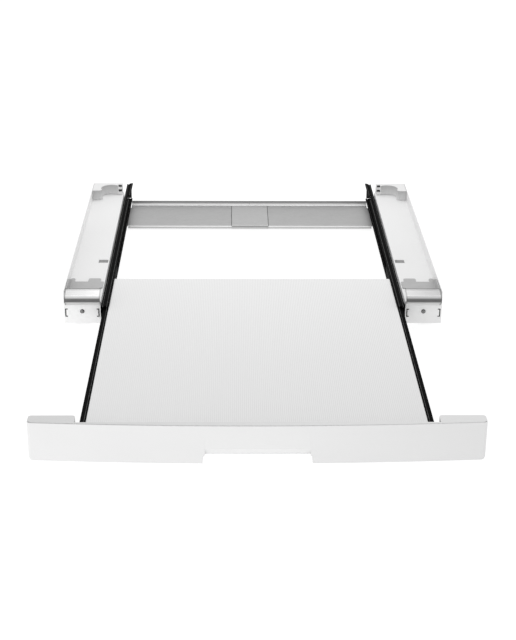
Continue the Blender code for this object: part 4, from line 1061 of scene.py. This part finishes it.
def cross_cutter():
    """The tapered cross of a screw's recess, in a head whose top is at z = 0."""
    half = CROSS_WIDTH / 2
    bm = bmesh.new()
    rings = []
    for level, share in ((CROSS_OVERRUN, CROSS_MOUTH_SHARE), (-CROSS_DEPTH, CROSS_FOOT_SHARE)):
        arm = CROSS_REACH * share
        ring = []
        for turn in range(4):
            c, s = round(cos(turn * pi / 2)), round(sin(turn * pi / 2))
            for u, v in ((arm, half), (half, half), (half, arm)):
                ring.append(bm.verts.new((u * c - v * s, u * s + v * c, level)))
        rings.append(ring)
    close(bm, *rings)
    return bm


def head_profile(sunk):
    """The radius and height of each ring of a screw's head, from its top to the shank."""
    if sunk:
        return [(SUNK_FLAT, 0), (HEAD_RADIUS - SUNK_EDGE, 0), (SHANK_RADIUS, -SUNK_DEPTH)]
    profile = []
    for i in range(DOME_STEPS + 1):
        angle = radians(DOME_START + (90 - DOME_START) * i / DOME_STEPS)
        drop = HEAD_HEIGHT * DOME_SHARE * (1 - cos(angle))
        profile.append((HEAD_RADIUS * sin(angle), -drop))
    return profile + [(HEAD_RADIUS, -HEAD_HEIGHT), (SHANK_RADIUS, -HEAD_HEIGHT)]


def thread_rings(bm, start, length):
    """Rings that wind down a shank, in turn along the thread's crest and its groove."""
    turns = max(2, int((length + start) / THREAD_PITCH) - 1)
    thread = []
    for turn in range(turns):
        for share, depth in ((0.0, 0.0), (0.5, 1.0)):
            ring = []
            for i, (x, y) in enumerate(circle(SHANK_RADIUS - depth * THREAD_DEPTH, SCREW_STEPS)):
                level = start - THREAD_PITCH * (turn + share + i / SCREW_STEPS)
                ring.append(bm.verts.new((x, y, level)))
            thread.append(ring)
    return thread


def open_band(bm, upper, lower):
    """Joins two rings with a band of faces that stops one short of closing."""
    for i in range(SCREW_STEPS - 1):
        bm.faces.new((upper[i], upper[i + 1], lower[i + 1], lower[i]))


def join_thread(bm, collar, thread, length):
    """Closes the thread against the head's collar and at the tip."""
    first, last = thread[0], thread[-1]
    open_band(bm, collar, first)
    bm.faces.new((collar[-1], collar[0], first[0], thread[1][0], thread[2][0], first[-1]))
    tip = level_ring(bm, SHANK_RADIUS - 2 * THREAD_DEPTH, -length, SCREW_STEPS)
    open_band(bm, last, tip)
    bm.faces.new((thread[-2][-1], last[0], tip[0], tip[-1], last[-1]))
    bm.faces.new(tip)


def screw_shape(length, sunk):
    """A screw with its head's top at z = 0 and its thread below."""
    bm = bmesh.new()
    profile = head_profile(sunk)
    rings = [level_ring(bm, radius, level, SCREW_STEPS) for radius, level in profile]
    thread = thread_rings(bm, profile[-1][1], length)
    for upper, lower in zip(rings, rings[1:]):
        bridge(bm, upper, lower)
    for upper, lower in zip(thread, thread[1:]):
        open_band(bm, upper, lower)
    for ring, nearer, lower, lowest in zip(thread, thread[1:], thread[2:], thread[3:]):
        bm.faces.new((ring[-1], lower[0], lowest[0], nearer[-1]))
    join_thread(bm, rings[-1], thread, length)
    bm.faces.new(rings[0])
    return bm


def screw_mesh(length, sunk):
    """The mesh of a screw with its cross recess."""
    made = as_object("screw_shape", screw_shape(length, sunk))
    cut(made, cross_cutter())
    shade_by_angle(made)
    mesh = made.data
    bpy.data.objects.remove(made)
    return mesh


def screw_facing(name):
    """The way that a screw's head faces."""
    for start, way in FACINGS.items():
        if name.startswith(start):
            return Vector(way)
    side = -1 if "left" in name else 1
    return Vector((side if name.startswith("shelf_screw") else -side, 0, 0))


def add_screws():
    """Detailed screws on the places of the plain ones."""
    meshes = {}
    names = sorted(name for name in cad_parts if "_screw" in name)
    for number, name in enumerate(names):
        low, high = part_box(name)
        way = screw_facing(name)
        length = abs((high - low).dot(way))
        sunk = name.startswith("slide_screw")
        in_front = name.startswith("front_screw")
        key = (sunk, in_front, round(length, LENGTH_DIGITS))
        if key not in meshes:
            meshes[key] = screw_mesh(length, sunk)
        screw = add_object(name + "_fastener", meshes[key])
        place = Matrix.Translation((low + high) / 2 + way * length / 2)
        facing = way.to_track_quat("Z", "Y").to_matrix().to_4x4()
        turn = Matrix.Rotation(radians(FIRST_TURN + NEXT_TURN * number), 4, "Z")
        screw.matrix_world = place @ facing @ turn
        body = DRAWER if name.startswith(("shelf_screw", "panel_screw")) else KIT
        dress(screw, body, "zinc_screw", name)
        if in_front:
            # the front screws take painted shade
            screw.data.materials[0] = FRONT_SCREW_SHADED_FINISH


def add_grip_strips():
    """Rubber strips with grooves along their underside."""
    for label, _ in SIDES:
        for where in ("inner", "outer"):
            name = "grip_strip_{}_{}".format(label, where)
            low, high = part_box(name)
            pitch = (high.x - low.x) / (2 * GROOVES + 1)
            outline = [(low.x, high.z), (low.x, low.z)]
            for i in range(GROOVES):
                start = low.x + pitch * (2 * i + 1)
                outline += [(start, low.z), (start + pitch / 4, low.z + GROOVE_DEPTH),
                            (start + pitch * 3 / 4, low.z + GROOVE_DEPTH), (start + pitch, low.z)]
            outline += [(high.x, low.z), (high.x, high.z)]
            strip = as_object("ribbed_" + name, prism(bmesh.new(), "Y", outline, low.y, high.y))
            dress(strip, KIT, "black_rubber", name)


def shade_hook_outline(side, way, foot):
    """A dark hook that fills a front plate's slot, open toward the screw, and paints the shade in it.
    """
    near = side + way * (SHADE_HOOK_FROM_SIDE - SHADE_HOOK_WIDTH / 2 + SHADE_HOOK_PLAY)
    far = side + way * (SHADE_HOOK_FROM_SIDE + SHADE_HOOK_WIDTH / 2 - SHADE_HOOK_PLAY)
    tip = side + way * (SHADE_HOOK_FROM_SIDE - SHADE_HOOK_WIDTH / 2 + SHADE_HOOK_LENGTH - SHADE_HOOK_PLAY)
    bottom = foot + SHADE_HOOK_BOTTOM + SHADE_HOOK_PLAY
    top = foot + SHADE_HOOK_BOTTOM + SHADE_HOOK_HEIGHT - SHADE_HOOK_PLAY
    bar = SHADE_HOOK_WIDTH - 2 * SHADE_HOOK_PLAY
    return [(near, bottom), (tip, bottom), (tip, bottom + bar), (far, bottom + bar),
            (far, top - bar), (tip, top - bar), (tip, top), (near, top)]


def add_slot_shade_clips(label):
    """A dark clip behind each of a front plate's two slots, with a hook in the inner one; they paint
    the shade seen through the slots.
    """
    plate_low, plate_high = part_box("front_plate_" + label)
    screw_low, screw_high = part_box("front_screw_" + label)
    low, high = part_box("rail_" + label)
    level = (screw_low.z + screw_high.z) / 2
    front = plate_high.y + SHADE_CLIP_GAP
    shade_clips = bmesh.new()
    for near, far in ((low.x, screw_low.x), (high.x, screw_high.x)):
        way = 1 if far > near else -1
        ends = sorted((near + way * SHADE_CLIP_MARGIN, near + way * (SHADE_CLIP_MARGIN + SHADE_CLIP_WIDTH)))
        block(shade_clips, (ends[0], front, level - SHADE_CLIP_REACH),
              (ends[1], front + SHADE_CLIP_DEPTH, level + SHADE_CLIP_REACH))
        if abs(near) < abs(far):
            prism(shade_clips, "Y", shade_hook_outline(near, way, low.z), plate_low.y + SHADE_HOOK_SINK,
                  front + SHADE_CLIP_DEPTH / 2)
    add_small("slot_shade_clips_" + label, shade_clips, "black_rubber", SHEET_EDGE)


def add_slot_shade_tongues(label, side):
    """A dark tongue in each of the two slots of a rear block's inner arm, which paints the shade
    inside the slot.
    """
    low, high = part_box("rear_foot_block_" + label)
    liner_low, liner_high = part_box("pocket_liner_" + label)
    ends = (low.x, liner_low.x) if side > 0 else (liner_high.x, high.x)
    front = high.y - ARM_DEPTH + ARM_SLOT_SINK
    shade_tongues = bmesh.new()
    for bottom in ARM_SLOTS:
        block(shade_tongues, (ends[0] + ARM_SLOT_MARGIN, front, low.z + bottom + SHADE_TONGUE_GAP),
              (ends[1] - ARM_SLOT_MARGIN, front + SHADE_TONGUE_DEPTH,
               low.z + bottom + ARM_SLOT_HEIGHT - SHADE_TONGUE_GAP))
    add_small("slot_shade_tongues_" + label, shade_tongues, "black_rubber", SMALL_EDGE)


def add_hole_shade_plate(label, side):
    """A grey plate that shows through the hole in a tray's floor and paints the shade below it."""
    low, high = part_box("rail_" + label)
    inner = min(abs(low.x), abs(high.x))
    ends = sorted((side * (inner + HOLE_START), side * (inner + HOLE_END)))
    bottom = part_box("rear_foot_block_" + label)[0].z - HOLE_SHADE_PLATE_DROP
    plate = block(bmesh.new(), (ends[0], low.y + HOLE_FRONT, bottom),
                  (ends[1], low.y + HOLE_BACK, bottom + HOLE_SHADE_PLATE_SHEET))
    add_small("hole_shade_plate_" + label, plate, "grey_plastic", SMALL_EDGE)


def add_backings():
    """What shows through the slots and holes of the white pieces: dark pieces that paint the shade
    seen through them.
    """
    for label, side in SIDES:
        add_slot_shade_clips(label)
        add_slot_shade_tongues(label, side)
        add_hole_shade_plate(label, side)


def add_joiner_shadows_and_joint():
    """Dark strips along both sides of the joiner plate that paint its contact shadow, and the joint of
    the rear flanges.
    """
    low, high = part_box("joiner_plate")
    shadow_strips = bmesh.new()
    for x in (low.x - SHADOW_STRIP_WIDTH, high.x):
        block(shadow_strips, (x, low.y + SHADOW_STRIP_INSET, high.z - SHADOW_STRIP_DROP),
              (x + SHADOW_STRIP_WIDTH, high.y, high.z - SHADOW_STRIP_DROP + SHADOW_STRIP_WIDTH / 2))
    add_small("joiner_shadow_strips", shadow_strips, "black_rubber", SHADOW_STRIP_WIDTH * SHADOW_STRIP_EDGE_SHARE)
    low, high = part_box("cross_plate_right")
    joint = block(bmesh.new(), (-low.x, high.y - JOINT_DEPTH, high.z - JOINT_HEIGHT),
                  (low.x, high.y, high.z))
    dress(as_object("flange_joint", joint), KIT, "galvanised")


def add_floor():
    """Plain white studio floor that keeps its shadows faint."""
    half = FLOOR_SIZE / 2
    corners = ((-half, -half), (half, -half), (half, half), (-half, half))
    bm = bmesh.new()
    bm.faces.new([bm.verts.new((x, y, 0)) for x, y in corners])
    floor = as_object("studio_floor", bm)
    made = Finish("studio_white", grey(FLOOR_TONE), 0.9)
    made.shader.inputs["Emission Color"].default_value = WHITE
    made.shader.inputs["Emission Strength"].default_value = FLOOR_GLOW
    floor.data.materials.append(made.material)


def add_soft_box(name, place, target, size, power):
    """A square soft light that faces a point."""
    data = bpy.data.lights.new(name, "AREA")
    data.shape = "SQUARE"
    data.size = size
    data.energy = power
    light = add_object(name, data)
    light.location = place
    light.rotation_euler = (Vector(target) - Vector(place)).to_track_quat("-Z", "Y").to_euler()


def add_light():
    """Even white surroundings with a soft box above and one at the front left."""
    world = bpy.data.worlds.new("studio")
    bpy.context.scene.world = world
    world.use_nodes = True
    background = world.node_tree.nodes["Background"]
    background.inputs["Color"].default_value = WHITE
    background.inputs["Strength"].default_value = SURROUND_LIGHT
    for soft_box in SOFT_BOXES:
        add_soft_box(*soft_box)


def add_camera():
    """The photograph's viewpoint."""
    forward = Vector((sin(CAMERA_YAW) * cos(CAMERA_PITCH), cos(CAMERA_YAW) * cos(CAMERA_PITCH),
                      -sin(CAMERA_PITCH)))
    right = Vector((cos(CAMERA_YAW), -sin(CAMERA_YAW), 0))
    up = right.cross(forward)
    across = right * cos(CAMERA_ROLL) + up * sin(CAMERA_ROLL)
    upright = up * cos(CAMERA_ROLL) - right * sin(CAMERA_ROLL)
    turn = Matrix((across, upright, -forward)).transposed().to_4x4()
    data = bpy.data.cameras.new("camera")
    data.sensor_fit = "AUTO"
    data.sensor_width = SENSOR_WIDTH
    data.lens = CAMERA_LENS
    camera = add_object("camera", data)
    camera.matrix_world = Matrix.Translation(CAMERA_PLACE) @ turn
    bpy.context.scene.camera = camera


add_camera()
add_light()
add_floor()
refine_plain_nodes()
add_shelf()
add_retainers()
add_panel()
add_ball_cages()
add_screws()
add_grip_strips()
add_backings()
add_joiner_shadows_and_joint()

view_settings = bpy.context.scene.view_settings
view_settings.view_transform = "Standard"
view_settings.look = "None"

bpy.context.view_layer.update()
